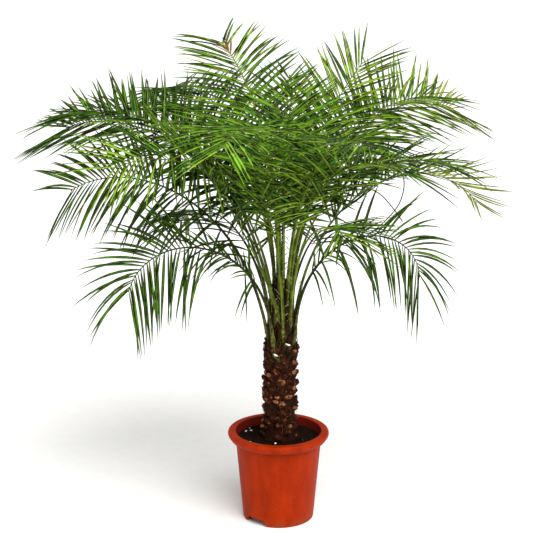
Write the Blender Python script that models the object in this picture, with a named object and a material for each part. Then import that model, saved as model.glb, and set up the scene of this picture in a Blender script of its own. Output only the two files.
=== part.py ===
"""A pygmy date palm in a round plastic nursery pot.

Every size is in metres and +Z is up. The origin is the middle of the pot's flat underside.
Azimuths are in degrees from +X towards +Y, and the front of the plant faces -Y.
Each frond is a thin blade cut to its rib between the leaflets. A frond that arches right
over is made in two lengths, which meet end to end at the top of its arch.
"""
import math
import random

import bmesh
import bpy
from mathutils import Vector
from mathutils.bvhtree import BVHTree

UP = Vector((0, 0, 1))

# Clearances
GAP = 0.0003               # left between two solids that meet
FOOT_GAP = 0.0005          # between the trunk and the middle of a stalk's foot
LEAFLET_MARGIN = 0.0006    # kept round a leaflet that passes another part

# Pot
POT_HEIGHT = 0.232
RIM_RADIUS = 0.130
NECK_RADIUS = 0.1095       # outside of the wall just under the rolled lip
FOOT_RADIUS = 0.0905       # outside of the wall at the ground
WALL = 0.0022
LIP_DEPTH = 0.021
LIP_ROUND = 0.006
LIP_ARC_STEPS = 3
LIP_FILLET = 0.004         # in the two corners under the lip
MOUTH_ROUND = 0.003
FLOOR_DISC_RADIUS = 0.058  # the middle of the floor, which touches the ground
FOOT_RING = 0.003          # width of the ring that touches the ground
CHANNEL_HEIGHT = 0.014     # drain channel between the two
CHANNEL_DRAFT = 0.003      # slope of the channel's sides
NOTCH_HEIGHT = 0.0165
NOTCH_BOTTOM_WIDTH = 0.068
NOTCH_TOP_WIDTH = 0.044
NOTCH_REACH = 0.012        # how far a notch's cutter goes to each side of the wall
NOTCH_AZIMUTHS = (229, 49)
POT_SEGMENTS = 48

# Compost
SOIL_TOP = 0.211
SOIL_SIDE_GAP = 0.0012
SOIL_SEGMENTS = 32

# Trunk: rows of old leaf bases, then a smooth sheath that narrows into the heart
TRUNK_FOOT = Vector((0.002, 0.0, SOIL_TOP + GAP))
TRUNK_TIP = Vector((0.009, 0.004, 0.650))
TRUNK_SEGMENTS = 16
TRUNK_SEED = 11
TRUNK_RADIUS = 0.0378
FOOT_FLARE = 0.005
FLARE_HEIGHT = 0.022
BASES_TOP = 0.452          # the old leaf bases end here
BASE_ROWS = 11
BASE_STEP = 0.0018         # height of the step from one row's lip to the next row
BASE_PROUD = 0.0092        # how far the middle of a leaf base's lip stands out
BASE_PROUD_VARIES = (0.75, 1.2)
BASE_CORNER_PROUD = 0.0023
BASE_POINT = 0.00225       # how far the middle lies above, and the corners below, a row's height
SHEATH = ((0.462, 0.0348), (0.500, 0.0310), (0.530, 0.0272), (0.560, 0.0224),
          (0.590, 0.0172), (0.620, 0.0113), (0.640, 0.0060))

# Stumps of cut leaf stalks: azimuth, height, length and width
STUMPS = ((-66, 0.452, 0.020, 0.016), (247, 0.424, 0.020, 0.018), (186, 0.463, 0.018, 0.011),
          (198, 0.436, 0.021, 0.013), (-14, 0.440, 0.023, 0.013), (-22, 0.402, 0.018, 0.016),
          (20, 0.461, 0.018, 0.011), (172, 0.392, 0.018, 0.016), (92, 0.448, 0.020, 0.016),
          (118, 0.410, 0.020, 0.016), (62, 0.418, 0.020, 0.014), (150, 0.452, 0.018, 0.013))
STUMP_THICKNESS = 0.006
STUMP_RISE = math.radians(58)
STUMP_SINK = 0.004         # depth of its middle under the sheath's surface
STUMP_ROOT = 0.010         # how far it reaches further in
STUMP_TAPER = (1.25, 0.8)  # its section at the root and at the cut

# Fronds
RACHIS_STEPS = 60
BEND_POWER = 1.5
BARE_STALK = 0.30          # share of the frond's length that carries no leaflets
FOOT_TURN = 0.2            # share of the length in which a stalk turns to its own direction
ROLL_SETTLES = 0.5         # share of the length by which a frond has rolled fully
STALK_WIDTHS = ((0.0, 0.0130), (0.05, 0.0092), (0.30, 0.0062), (0.60, 0.0038), (1.0, 0.0018))
STALK_DEPTH = 0.62         # depth of the rib over its width
STALK_RINGS = (0.0, 0.03, 0.08, 0.14, 0.20, 0.26)
SPLIT_ARCH = 120           # a frond that turns through more than this is two lengths
BEYOND_TRUNK = 0.2         # a distance from the trunk's axis that is well outside it

# Leaflets
LEAFLET_PAIRS = 14
LEAFLET_LONGEST = 0.208
LONGEST_AT = 0.4           # where the longest ones grow, from 0, the first pair, to 1, the last
FIRST_SHORTER = 0.45
LENGTH_VARIES = (0.93, 1.05)
LEAFLET_HALF_WIDTH = 0.0066
LEAFLET_HALF_THICKNESS = 0.0010
LEAFLET_ROOT = 0.0062      # length of rib that one leaflet grows from
LEAFLET_WIDEST = 0.42      # share of its length at which it is widest
SPREAD, SPREAD_CLOSES = math.radians(62), math.radians(30)
SPREAD_VARIES = 0.06
HANG = math.radians(24)    # extra spread of the lower side's leaflets on a blade on its edge
LIFT_FIRST, LIFT_LAST = math.radians(18), math.radians(4)
LIFT_VARIES = 0.07
# Tried in turn where a leaflet meets another part: share of its length, change of its lift
LEAFLET_TRIES = ((1, 0), (1, 0.16), (1, -0.16), (0.85, 0.3), (0.85, -0.3), (0.7, 0), (0.55, 0.2))
WHOLE_FROM = 0.02          # share of a leaflet's length from which it clears other parts
OUTER_FROM = 0.3           # and from which it clears the leaflets of its own frond

SHARP_ANGLE = 35
ORANGE = (0.52, 0.055, 0.012)
PEAT = (0.012, 0.006, 0.003)
BARK = (0.060, 0.022, 0.010)
GREENS = {"low": (0.055, 0.100, 0.022), "mid": (0.080, 0.150, 0.028), "high": (0.100, 0.180, 0.035),
          "far": (0.100, 0.170, 0.032), "top": (0.125, 0.215, 0.045)}


class Frond:
    """One frond: its name, its place on the trunk and the curve of its rib."""

    def __init__(self, name, azimuth, base, rise, arch, length, sweep=0, roll=0, sag=0.14,
                 foot=None, closing=0.24, longest=LEAFLET_LONGEST):
        self.name = name
        self.azimuth = azimuth      # direction that it leaves the trunk in
        self.foot = azimuth if foot is None else foot    # side of the trunk that it stands on
        self.base = base            # height of its foot
        self.rise = rise            # pitch of the rib at its foot
        self.arch = arch            # how far the pitch falls by the tip
        self.length = length
        self.sweep = sweep          # how far the heading turns by the tip
        self.roll = roll            # turn of the blade about its rib
        self.sag = sag              # fall of a leaflet's tip, as a share of its length
        self.closing = closing      # how much shorter its last leaflets are, as a share
        self.longest = longest      # length of its longest leaflets

    def azimuth_at(self, share):
        """Direction of the rib at a share of its length: square to the trunk at its foot."""
        return (self.foot + (self.azimuth - self.foot) * min(1, share / FOOT_TURN)
                + self.sweep * share)


# The outermost fronds come first, the youngest ones round the heart last
FRONDS = (
    Frond("low_left", 190, 0.466, 84, 160, 0.57, sweep=-7, roll=62, sag=0.35, foot=238, closing=0,
          longest=0.178),
    Frond("low_right", 4, 0.485, 86, 170, 0.55, sweep=19, roll=-62, sag=0.35, foot=-12, closing=0,
          longest=0.178),
    Frond("low_back_left", 130, 0.470, 80, 124, 0.56, sag=0.25),
    Frond("low_back_right", 62, 0.475, 80, 126, 0.46, sag=0.25),
    Frond("mid_left", 180, 0.492, 77, 110, 0.73, sweep=-19, roll=55, sag=0.2, closing=0.1,
          longest=0.185),
    Frond("mid_right", 11, 0.510, 82, 134, 0.74, sweep=11, roll=9, sag=0.16, closing=0.35),
    Frond("mid_front_left", 208, 0.540, 68, 20, 0.52, roll=15, foot=250),
    Frond("mid_front_right", -66, 0.520, 84, 100, 0.47, roll=10, foot=-48),
    Frond("mid_front", 244, 0.498, 87, 40, 0.40, roll=10, foot=277),
    Frond("mid_back", 92, 0.505, 80, 112, 0.66, sag=0.2),
    Frond("high_left", 183, 0.535, 81, 104, 0.82, sweep=-29, roll=27, closing=0.1),
    Frond("high_right", -22, 0.545, 87, 104, 0.63, sweep=16),
    Frond("high_side_left", 212, 0.556, 82, 100, 0.68, roll=30, foot=216),
    Frond("high_side_right", -46, 0.578, 86, 100, 0.60, roll=20, foot=-34),
    Frond("high_back_left", 142, 0.545, 92, 112, 0.82, sweep=-21, roll=10, foot=138),
    Frond("high_back_right", 62, 0.545, 84, 100, 0.74, roll=-10),
    Frond("high_front_left", 254, 0.560, 93, 118, 0.80),
    Frond("high_front_right", -58, 0.560, 86, 90, 0.69, sweep=-11),
    Frond("far_left", 154, 0.568, 76, 95, 0.81, sweep=11, roll=6, foot=166, closing=0.2),
    Frond("far_right", 30, 0.566, 83, 108, 0.81, sweep=6, roll=-33),
    Frond("far_back_left", 140, 0.604, 84, 100, 0.70, roll=10, foot=160),
    Frond("far_back_right", 24, 0.604, 84, 88, 0.68, roll=-10, foot=4),
    Frond("top_left", 120, 0.588, 90, 65, 0.71, roll=9, sag=0.10, closing=0.3),
    Frond("top_right", 37, 0.594, 83, 41, 0.62, roll=-15, sag=0.06, foot=46, closing=0.3),
    Frond("top_front", 278, 0.597, 91, 40, 0.56, sag=0.08),
    Frond("top_back", 84, 0.604, 88, 40, 0.55, sag=0.08),
)


def material(name, colour, roughness):
    """A plain finish of one colour."""
    made = bpy.data.materials.new(name)
    made.use_nodes = True
    shader = made.node_tree.nodes["Principled BSDF"]
    shader.inputs["Base Color"].default_value = (*colour, 1)
    shader.inputs["Roughness"].default_value = roughness
    shader.inputs["Metallic"].default_value = 0
    return made


def add_object(name, points, faces, finish):
    """A new object of these points and faces, with its faces turned outward."""
    mesh = bpy.data.meshes.new(name)
    mesh.from_pydata([tuple(point) for point in points], [], faces)
    shape = bmesh.new()
    shape.from_mesh(mesh)
    bmesh.ops.recalc_face_normals(shape, faces=shape.faces)
    shape.to_mesh(mesh)
    shape.free()
    mesh.materials.append(finish)
    made = bpy.data.objects.new(name, mesh)
    bpy.context.collection.objects.link(made)
    return made


def shade_smooth(made):
    """Smooth shading, with the sharp edges left sharp."""
    made.data.shade_smooth()
    made.data.set_sharp_from_angle(angle=math.radians(SHARP_ANGLE))


def heading(degrees):
    """The level direction at an azimuth."""
    turn = math.radians(degrees)
    return Vector((math.cos(turn), math.sin(turn), 0))


def between(table, place):
    """The value at a place in a table of (place, value) pairs, in straight lines."""
    for (low, first), (high, last) in zip(table, table[1:]):
        if place <= high:
            return first + (last - first) * (place - low) / (high - low)
    return table[-1][1]


def block_faces():
    """The faces of a block from its lower four corners and its upper four, both in turn."""
    return [(0, 1, 2, 3), (7, 6, 5, 4), (0, 4, 5, 1), (1, 5, 6, 2), (2, 6, 7, 3), (3, 7, 4, 0)]


def turned(name, outline, segments, finish):
    """A solid turned round the Z axis from (radius, height) pairs; a radius of 0 is a pole."""
    points, rings = [], []
    for radius, height in outline:
        count = segments if radius > 0 else 1
        rings.append([len(points) + step for step in range(count)])
        points += [heading(360 * step / count) * radius + UP * height for step in range(count)]
    faces = []
    for low, high in zip(rings, rings[1:]):
        for step in range(segments):
            following = (step + 1) % segments
            if len(low) == 1:
                faces.append((low[0], high[step], high[following]))
            elif len(high) == 1:
                faces.append((low[step], low[following], high[0]))
            else:
                faces.append((low[step], low[following], high[following], high[step]))
    return add_object(name, points, faces, finish)


def wall_radius(height):
    """Outside radius of the pot's tapering wall at a height."""
    neck = POT_HEIGHT - LIP_DEPTH
    return FOOT_RADIUS + (NECK_RADIUS - FOOT_RADIUS) * height / neck


def lip_outline():
    """The rolled lip, from the neck out under it, round its outer edge and over its top."""
    below = POT_HEIGHT - LIP_DEPTH
    roof = POT_HEIGHT - WALL
    skirt = RIM_RADIUS - WALL
    outline = [(wall_radius(roof - LIP_FILLET), roof - LIP_FILLET),
               (wall_radius(roof) + LIP_FILLET, roof), (skirt - LIP_FILLET, roof),
               (skirt, roof - LIP_FILLET), (skirt, below), (RIM_RADIUS, below)]
    for step in range(LIP_ARC_STEPS + 1):
        turn = math.pi / 2 * step / LIP_ARC_STEPS
        outline.append((RIM_RADIUS - LIP_ROUND + LIP_ROUND * math.cos(turn),
                        POT_HEIGHT - LIP_ROUND + LIP_ROUND * math.sin(turn)))
    return outline


def make_pot():
    """The pot: a flat disc and a ring touch the ground, with a notched drain channel between."""
    floor = CHANNEL_HEIGHT + WALL
    mouth = wall_radius(POT_HEIGHT) - WALL
    ring = FOOT_RADIUS - FOOT_RING
    outline = [(0, 0), (FLOOR_DISC_RADIUS, 0), (FLOOR_DISC_RADIUS + CHANNEL_DRAFT, CHANNEL_HEIGHT),
               (ring - CHANNEL_DRAFT, CHANNEL_HEIGHT), (ring, 0), (FOOT_RADIUS, 0)]
    outline += lip_outline()
    outline += [(mouth + MOUTH_ROUND, POT_HEIGHT), (mouth, POT_HEIGHT - MOUTH_ROUND),
                (wall_radius(floor) - WALL, floor), (FLOOR_DISC_RADIUS + CHANNEL_DRAFT - WALL, floor),
                (FLOOR_DISC_RADIUS - WALL, WALL), (0, WALL)]
    pot = turned("pot", outline, POT_SEGMENTS, material("orange_plastic", ORANGE, 0.45))
    for number, azimuth in enumerate(NOTCH_AZIMUTHS):
        cutter = notch_cutter("notch_%d" % number, azimuth)
        cut = pot.modifiers.new(cutter.name, "BOOLEAN")
        cut.operation = "DIFFERENCE"
        cut.object = cutter
    shade_smooth(pot)


def notch_cutter(name, azimuth):
    """A wedge, wider at the ground, that opens the foot ring and the floor's edge for drainage."""
    out = heading(azimuth)
    side = out.cross(UP)
    inner, outer = FOOT_RADIUS - NOTCH_REACH, FOOT_RADIUS + NOTCH_REACH
    taper = (NOTCH_BOTTOM_WIDTH - NOTCH_TOP_WIDTH) / NOTCH_HEIGHT
    points = []
    for height in (-NOTCH_REACH, NOTCH_HEIGHT):
        half = (NOTCH_TOP_WIDTH + taper * (NOTCH_HEIGHT - height)) / 2
        for radius, hand in ((inner, -1), (outer, -1), (outer, 1), (inner, 1)):
            points.append(out * radius + side * hand * half + UP * height)
    cutter = add_object(name, points, block_faces(), bpy.data.materials["orange_plastic"])
    cutter.hide_render = True
    cutter.display_type = "WIRE"
    return cutter


def make_soil():
    """The compost that fills the pot, clear of its wall and its floor."""
    floor = CHANNEL_HEIGHT + WALL
    inset = WALL + SOIL_SIDE_GAP
    recess = FLOOR_DISC_RADIUS - inset
    outline = [(0, WALL + GAP), (recess, WALL + GAP), (recess + CHANNEL_DRAFT, floor + GAP),
               (wall_radius(floor) - inset, floor + GAP), (wall_radius(SOIL_TOP) - inset, SOIL_TOP),
               (0, SOIL_TOP)]
    soil = turned("soil", outline, SOIL_SEGMENTS, material("compost", PEAT, 0.95))
    shade_smooth(soil)


def trunk_axis(height):
    """The middle of the leaning trunk at a height."""
    share = (height - TRUNK_FOOT.z) / (TRUNK_TIP.z - TRUNK_FOOT.z)
    return TRUNK_FOOT.lerp(TRUNK_TIP, share)


def leaf_base_rings():
    """Radii and heights of the rings that step out at the lip of each row of old leaf bases."""
    rng = random.Random(TRUNK_SEED)
    row_height = (BASES_TOP - TRUNK_FOOT.z) / BASE_ROWS
    rings = []
    for row in range(BASE_ROWS):
        lip_height = TRUNK_FOOT.z + (row + 1) * row_height - BASE_STEP
        flare = FOOT_FLARE * max(0, 1 - (lip_height - TRUNK_FOOT.z) / FLARE_HEIGHT)
        lip, tuck = [], []
        for step in range(TRUNK_SEGMENTS):
            if (step + row) % 2 == 0:
                proud, point = BASE_PROUD * rng.uniform(*BASE_PROUD_VARIES), BASE_POINT
            else:
                proud, point = BASE_CORNER_PROUD, -BASE_POINT
            lip.append((TRUNK_RADIUS + flare + proud, lip_height + point))
            tuck.append((TRUNK_RADIUS + flare, lip_height + point + BASE_STEP))
        rings += [lip, tuck]
    return rings


def make_trunk():
    """The trunk from its flat cut in the compost to the heart of the crown, with its stumps."""
    foot = [(TRUNK_RADIUS + FOOT_FLARE, TRUNK_FOOT.z)] * TRUNK_SEGMENTS
    rings = [foot] + leaf_base_rings()
    rings += [[(radius, height)] * TRUNK_SEGMENTS for height, radius in SHEATH]
    points, faces = [], []
    for ring in rings:
        for step, (radius, height) in enumerate(ring):
            points.append(trunk_axis(height) + heading(360 * step / TRUNK_SEGMENTS) * radius)
    for level in range(len(rings) - 1):
        for step in range(TRUNK_SEGMENTS):
            following = (step + 1) % TRUNK_SEGMENTS
            low, high = level * TRUNK_SEGMENTS, (level + 1) * TRUNK_SEGMENTS
            first, second, third, fourth = low + step, low + following, high + following, high + step
            faces += [(first, second, third), (first, third, fourth)]
    points.append(TRUNK_TIP.copy())
    last = (len(rings) - 1) * TRUNK_SEGMENTS
    for step in range(TRUNK_SEGMENTS):
        faces.append((last + step, last + (step + 1) % TRUNK_SEGMENTS, len(points) - 1))
    faces.append(tuple(reversed(range(TRUNK_SEGMENTS))))
    bark = material("palm_trunk", BARK, 0.9)
    trunk = add_object("trunk", points, faces, bark)
    stumps = bpy.data.collections.new("stumps")
    for azimuth, height, length, width in STUMPS:
        stumps.objects.link(make_stump(azimuth, height, length, width, bark))
    join(trunk, stumps)
    return trunk


def make_stump(azimuth, height, length, width, finish):
    """The stump of a cut stalk: a tapered block that leans up and out of the trunk."""
    out = heading(azimuth)
    along = out * math.cos(STUMP_RISE) + UP * math.sin(STUMP_RISE)
    side = out.cross(UP)
    normal = side.cross(along)
    foot = trunk_axis(height) + out * (between(SHEATH, height) - STUMP_SINK)
    points = []
    for reach, share in zip((-STUMP_ROOT, length), STUMP_TAPER):
        for hand, face in ((-1, -1), (1, -1), (1, 1), (-1, 1)):
            points.append(foot + along * reach + side * hand * width * share / 2
                          + normal * face * STUMP_THICKNESS * share / 2)
    stump = add_object("stump", points, block_faces(), finish)
    bpy.context.collection.objects.unlink(stump)
    return stump


def join(body, others):
    """One union of a body with a collection's solids, whose objects are then removed."""
    bpy.context.scene.collection.children.link(others)
    union = body.modifiers.new("union", "BOOLEAN")
    union.operation = "UNION"
    union.operand_type = "COLLECTION"
    union.collection = others
    evaluated = body.evaluated_get(bpy.context.evaluated_depsgraph_get())
    joined = bpy.data.meshes.new_from_object(evaluated)
    body.modifiers.remove(union)
    body.data = joined
    for made in list(others.objects):
        bpy.data.objects.remove(made)
    bpy.data.collections.remove(others)


def tree_of(made):
    """A search tree of an object's triangles."""
    shape = bmesh.new()
    shape.from_mesh(made.data)
    found = BVHTree.FromBMesh(shape)
    shape.free()
    return found


class Rib:
    """The curve of one frond's rib, with the blade's side and upper directions along it."""

    def __init__(self, frond, trunk_tree):
        self.frond = frond
        out = heading(frond.foot)
        surface = trunk_tree.ray_cast(trunk_axis(frond.base) + out * BEYOND_TRUNK, -out)[0]
        place = surface + out * FOOT_GAP
        self.points, self.tangents = [place.copy()], []
        step_length = frond.length / RACHIS_STEPS
        for step in range(RACHIS_STEPS):
            share = (step + 0.5) / RACHIS_STEPS
            pitch = math.radians(frond.rise - frond.arch * share ** BEND_POWER)
            level = heading(frond.azimuth_at(share))
            tangent = level * math.cos(pitch) + UP * math.sin(pitch)
            place = place + tangent * step_length
            self.tangents.append(tangent)
            self.points.append(place.copy())

    def frame(self, share):
        """Place, direction, side and upper direction of the blade at a share of its length."""
        place = share * RACHIS_STEPS
        index = min(int(place), RACHIS_STEPS - 1)
        point = self.points[index].lerp(self.points[index + 1], place - index)
        along = self.tangents[index]
        side = heading(self.frond.azimuth_at(share)).cross(UP)
        upper = side.cross(along)
        roll = math.radians(self.frond.roll) * min(1, share / ROLL_SETTLES)
        turned_side = side * math.cos(roll) + upper * math.sin(roll)
        turned_upper = upper * math.cos(roll) - side * math.sin(roll)
        return point, along, turned_side, turned_upper

    def ring(self, share):
        """Left edge, right edge and keel of the rib."""
        point, _, side, upper = self.frame(share)
        width = between(STALK_WIDTHS, share)
        return [point - side * width / 2, point + side * width / 2, point - upper * width * STALK_DEPTH]

    def pair_span(self, number):
        """The stretch of rib that a pair of leaflets grows from."""
        middle = BARE_STALK + (1 - BARE_STALK) * (number + 0.5) / LEAFLET_PAIRS
        half = LEAFLET_ROOT / 2 / self.frond.length
        return middle - half, middle + half

    def ring_shares(self):
        """The places of the rib's rings: a few on the bare stalk, and two for each pair."""
        spans = [self.pair_span(number) for number in range(LEAFLET_PAIRS)]
        return [*STALK_RINGS, *(share for span in spans for share in span), 1.0]

    def split_share(self):
        """Between two pairs near the top of its arch; nothing on a frond left whole."""
        if self.frond.arch < SPLIT_ARCH:
            return None
        top = (self.frond.rise / self.frond.arch) ** (1 / BEND_POWER)
        number = round((top - BARE_STALK) / (1 - BARE_STALK) * LEAFLET_PAIRS)
        return (self.pair_span(number - 1)[1] + self.pair_span(number)[0]) / 2


def leaflet_length(frond, place):
    """Length of a frond's leaflet at a place from 0, the first pair, to 1, the last pair."""
    if place < LONGEST_AT:
        shorter = FIRST_SHORTER * (1 - place / LONGEST_AT) ** 2
    else:
        shorter = frond.closing * ((place - LONGEST_AT) / (1 - LONGEST_AT)) ** 2
    return frond.longest * (1 - shorter)


class Leaflet:
    """One leaflet: where it grows on the rib, its direction and its length."""

    def __init__(self, rib, number, hand, rng):
        place = (number + 0.5) / LEAFLET_PAIRS
        self.hand = hand
        self.start, self.stop = rib.pair_span(number)
        self.share = (self.start + self.stop) / 2
        self.length = leaflet_length(rib.frond, place) * rng.uniform(*LENGTH_VARIES)
        hang = HANG * (1 - place ** 2) * max(0, -hand * math.sin(math.radians(rib.frond.roll)))
        spread = SPREAD + hang - SPREAD_CLOSES * place ** 4
        lift = LIFT_FIRST + (LIFT_LAST - LIFT_FIRST) * place
        self.spread = spread + rng.uniform(-SPREAD_VARIES, SPREAD_VARIES)
        self.lift = lift + rng.uniform(-LIFT_VARIES, LIFT_VARIES)

    def shape(self, rib, length, lift, margin=0.0):
        """Four points at its widest and its tip; a margin makes it that much fatter."""
        point, along, side, upper = rib.frame(self.share)
        out = side * self.hand * math.cos(lift) + upper * math.sin(lift)
        reach = along * math.cos(self.spread) + out * math.sin(self.spread)
        across = (along - reach * along.dot(reach)).normalized()
        normal = reach.cross(across)
        if normal.dot(upper) < 0:
            normal.negate()
        wide = LEAFLET_HALF_WIDTH + margin
        thick = LEAFLET_HALF_THICKNESS + margin
        middle = point + (reach - UP * rib.frond.sag * LEAFLET_WIDEST) * length * LEAFLET_WIDEST
        tip = point + (reach - UP * rib.frond.sag) * (length + margin)
        corners = [middle - across * wide + normal * thick, middle + across * wide + normal * thick,
                   middle + across * wide - normal * thick, middle - across * wide - normal * thick]
        return corners + [tip]

    def probe(self, rib, length, lift, away):
        """A search tree of the slightly fattened leaflet, from some way along it to its tip."""
        shape = self.shape(rib, length, lift, LEAFLET_MARGIN)
        root = [corner.lerp(wide, away) for corner, wide in zip(self.root(rib), shape)]
        return BVHTree.FromPolygons(root + shape, leaflet_faces((0, 1, 2, 3), 4) + [(0, 1, 2, 3)])

    def root(self, rib):
        """The four corners on the rib's side that it grows from."""
        edge = 0 if self.hand < 0 else 1
        low, high = rib.ring(self.start), rib.ring(self.stop)
        return low[edge], high[edge], high[2], low[2]


def leaflet_faces(roots, shape):
    """Triangles from four root points to the four points at the widest, and on to the tip."""
    middles = [shape + corner for corner in range(4)]
    faces = []
    for corner in range(4):
        following = (corner + 1) % 4
        faces.append((roots[corner], roots[following], middles[following]))
        faces.append((roots[corner], middles[following], middles[corner]))
        faces.append((middles[corner], middles[following], shape + 4))
    return faces


def blade_length(rib, first, last, leaflets):
    """Points and triangles of one length of a frond: its rib with the leaflets that grow on it."""
    shares = [first, *(share for share in rib.ring_shares() if first < share < last), last]
    points, faces = [], []
    for share in shares:
        points += rib.ring(share)
    for level, share in enumerate(shares[:-1]):
        low, high = 3 * level, 3 * level + 3
        faces += [(low, low + 1, high + 1), (low, high + 1, high)]
        for edge, hand in ((0, -1), (1, 1)):
            growing = [leaf for leaf in leaflets if leaf.start == share and leaf.hand == hand]
            if growing:
                leaf = growing[0]
                shape = len(points)
                points += leaf.shape(rib, leaf.length, leaf.lift)
                faces += leaflet_faces((low + edge, high + edge, high + 2, low + 2), shape)
            else:
                faces += [(low + edge, high + edge, high + 2), (low + edge, high + 2, low + 2)]
    end = 3 * (len(shares) - 1)
    faces += [(0, 2, 1), (end, end + 1, end + 2)]
    return points, faces


def bare_tree(rib):
    """A search tree of the rib alone, which leaflets of other fronds keep clear of."""
    return BVHTree.FromPolygons(*blade_length(rib, 0.0, 1.0, []))


def grow_leaflets(rib, obstacles):
    """The frond's leaflets; one that would meet another part is turned, shortened or left out."""
    rng = random.Random(rib.frond.name)
    grown, trees = [], []
    for number in range(LEAFLET_PAIRS):
        for hand in (-1, 1):
            leaf = Leaflet(rib, number, hand, rng)
            for length_share, turn in LEAFLET_TRIES:
                length, lift = leaf.length * length_share, leaf.lift + turn
                whole = leaf.probe(rib, length, lift, WHOLE_FROM)
                outer = leaf.probe(rib, length, lift, OUTER_FROM)
                if not (any(whole.overlap(tree) for tree in obstacles)
                        or any(outer.overlap(tree) for tree in trees)):
                    leaf.length, leaf.lift = length, lift
                    grown.append(leaf)
                    trees.append(whole)
                    break
    return grown, trees


def make_frond(rib, obstacles, finish):
    """One frond, as one node or as two lengths that meet at the top of its arch."""
    leaflets, trees = grow_leaflets(rib, obstacles)
    split = rib.split_share()
    name = "frond_" + rib.frond.name
    if split is None:
        pieces = [(name, 0.0, 1.0)]
    else:
        half_gap = GAP / 2 / rib.frond.length
        pieces = [(name + "_inner", 0.0, split - half_gap), (name + "_outer", split + half_gap, 1.0)]
    for piece, first, last in pieces:
        add_object(piece, *blade_length(rib, first, last, leaflets), finish)
    return trees


def main():
    for made in list(bpy.data.objects):
        bpy.data.objects.remove(made)
    make_pot()
    make_soil()
    trunk = make_trunk()
    trunk_tree = tree_of(trunk)
    ribs = [Rib(frond, trunk_tree) for frond in FRONDS]
    bare = [bare_tree(rib) for rib in ribs]
    finishes = {tier: material("frond_" + tier, colour, 0.5) for tier, colour in GREENS.items()}
    obstacles = [trunk_tree, tree_of(bpy.data.objects["pot"])]
    for number, rib in enumerate(ribs):
        others = bare[:number] + bare[number + 1:]
        tier = rib.frond.name.split("_")[0]
        obstacles += make_frond(rib, obstacles + others, finishes[tier])


main()
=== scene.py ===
"""The looks of a pygmy date palm in an orange plastic nursery pot.

Sizes are in metres and +Z is up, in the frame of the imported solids. Azimuths are in degrees
from +X towards +Y. The fronds follow the same rule as their solids, with finer leaflets.
"""

import logging
import math
import random
from collections.abc import Iterable, Sequence
from dataclasses import dataclass, field
from enum import Enum

import bmesh
import bpy
from bpy.types import Material, Mesh, Node, NodeSocket, NodeTree, Object
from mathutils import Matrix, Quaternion, Vector, noise
from mathutils.bvhtree import BVHTree


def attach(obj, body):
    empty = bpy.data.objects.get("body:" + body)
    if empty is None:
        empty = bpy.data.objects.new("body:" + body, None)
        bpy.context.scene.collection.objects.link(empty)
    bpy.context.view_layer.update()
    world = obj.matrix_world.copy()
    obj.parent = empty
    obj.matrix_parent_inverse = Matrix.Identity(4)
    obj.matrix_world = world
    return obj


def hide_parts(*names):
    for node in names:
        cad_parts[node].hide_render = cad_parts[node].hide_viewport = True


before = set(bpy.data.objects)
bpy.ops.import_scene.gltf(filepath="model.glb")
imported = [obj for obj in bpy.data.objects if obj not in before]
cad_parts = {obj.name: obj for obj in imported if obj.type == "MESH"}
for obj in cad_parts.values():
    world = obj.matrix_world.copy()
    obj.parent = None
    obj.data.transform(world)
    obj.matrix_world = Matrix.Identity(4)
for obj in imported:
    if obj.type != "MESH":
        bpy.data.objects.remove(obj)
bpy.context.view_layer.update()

log = logging.getLogger("palm")
# Points and faces of a closed shell
Shell = tuple[list[Vector], list[tuple[int, ...]]]
UP = Vector((0, 0, 1))
GOLDEN_ANGLE = 137.508
MILLIMETRE = 0.001

# Sizes shared by the pieces, the same as in the solids
POT_HEIGHT = 0.232
POT_WALL = 0.0022
SOIL_TOP = 0.211
TRUNK_FOOT = Vector((0.002, 0.0, 0.2113))
TRUNK_TIP = Vector((0.009, 0.004, 0.650))


class Slot(Enum):
    """The material slots of the record."""

    POT = "pot"
    COMPOST = "compost"
    TRUNK = "trunk"
    FRONDS = "fronds"


class Tone(Enum):
    """The colour of a leaflet, dealt out by frond; the sunlit one is painted light and the old one partly
    painted shade.
    """

    OLD = "old"
    MATURE = "mature"
    # A lighter copy of the mature green, as painted light
    SUNLIT = "sunlit"
    FRESH = "fresh"
    YELLOWING = "yellowing"
    DRIED = "dried"


# Helpers for colours, nodes and meshes


def linear(colour: str) -> tuple[float, float, float, float]:
    """Turns an sRGB hex value into a linear colour.

    Args:
        colour: six hex digits after a hash.

    Returns:
        Red, green, blue and an alpha of 1.
    """
    parts = [int(colour[start:start + 2], 16) / 255 for start in (1, 3, 5)]
    red, green, blue = (part / 12.92 if part <= 0.04045 else ((part + 0.055) / 1.055) ** 2.4
                        for part in parts)
    return red, green, blue, 1.0


def feed(node: Node, inputs: dict) -> None:
    """Sets the inputs of a node.

    Args:
        node: the node.
        inputs: a value, or the output that feeds it, for each named or numbered input.
    """
    for key, value in inputs.items():
        if isinstance(value, NodeSocket):
            node.id_data.links.new(value, node.inputs[key])
        else:
            node.inputs[key].default_value = value


def add_node(tree: NodeTree, kind: str, inputs: dict | None = None, out: int | str = 0,
             **settings: object) -> NodeSocket:
    """Adds a node to a tree.

    Args:
        tree: the tree that it goes into.
        kind: the node's type.
        inputs: what its inputs are fed.
        out: number or name of the output that is wanted.
        **settings: properties of the node.

    Returns:
        That output of the new node.
    """
    node = tree.nodes.new(kind)
    for name, value in settings.items():
        setattr(node, name, value)
    feed(node, inputs or {})
    return node.outputs[out]


def heading(degrees: float) -> Vector:
    """The level direction at an azimuth."""
    turn = math.radians(degrees)
    return Vector((math.cos(turn), math.sin(turn), 0))


def climbing(out: Vector, degrees: float) -> Vector:
    """A level direction turned up by a pitch."""
    pitch = math.radians(degrees)
    return out * math.cos(pitch) + UP * math.sin(pitch)


def rising(out: Vector, degrees: float) -> tuple[Vector, Vector]:
    """A level direction turned up by a pitch, and the upper direction square to it."""
    facing = climbing(out, degrees)
    return facing, out.cross(UP).cross(facing)


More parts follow.
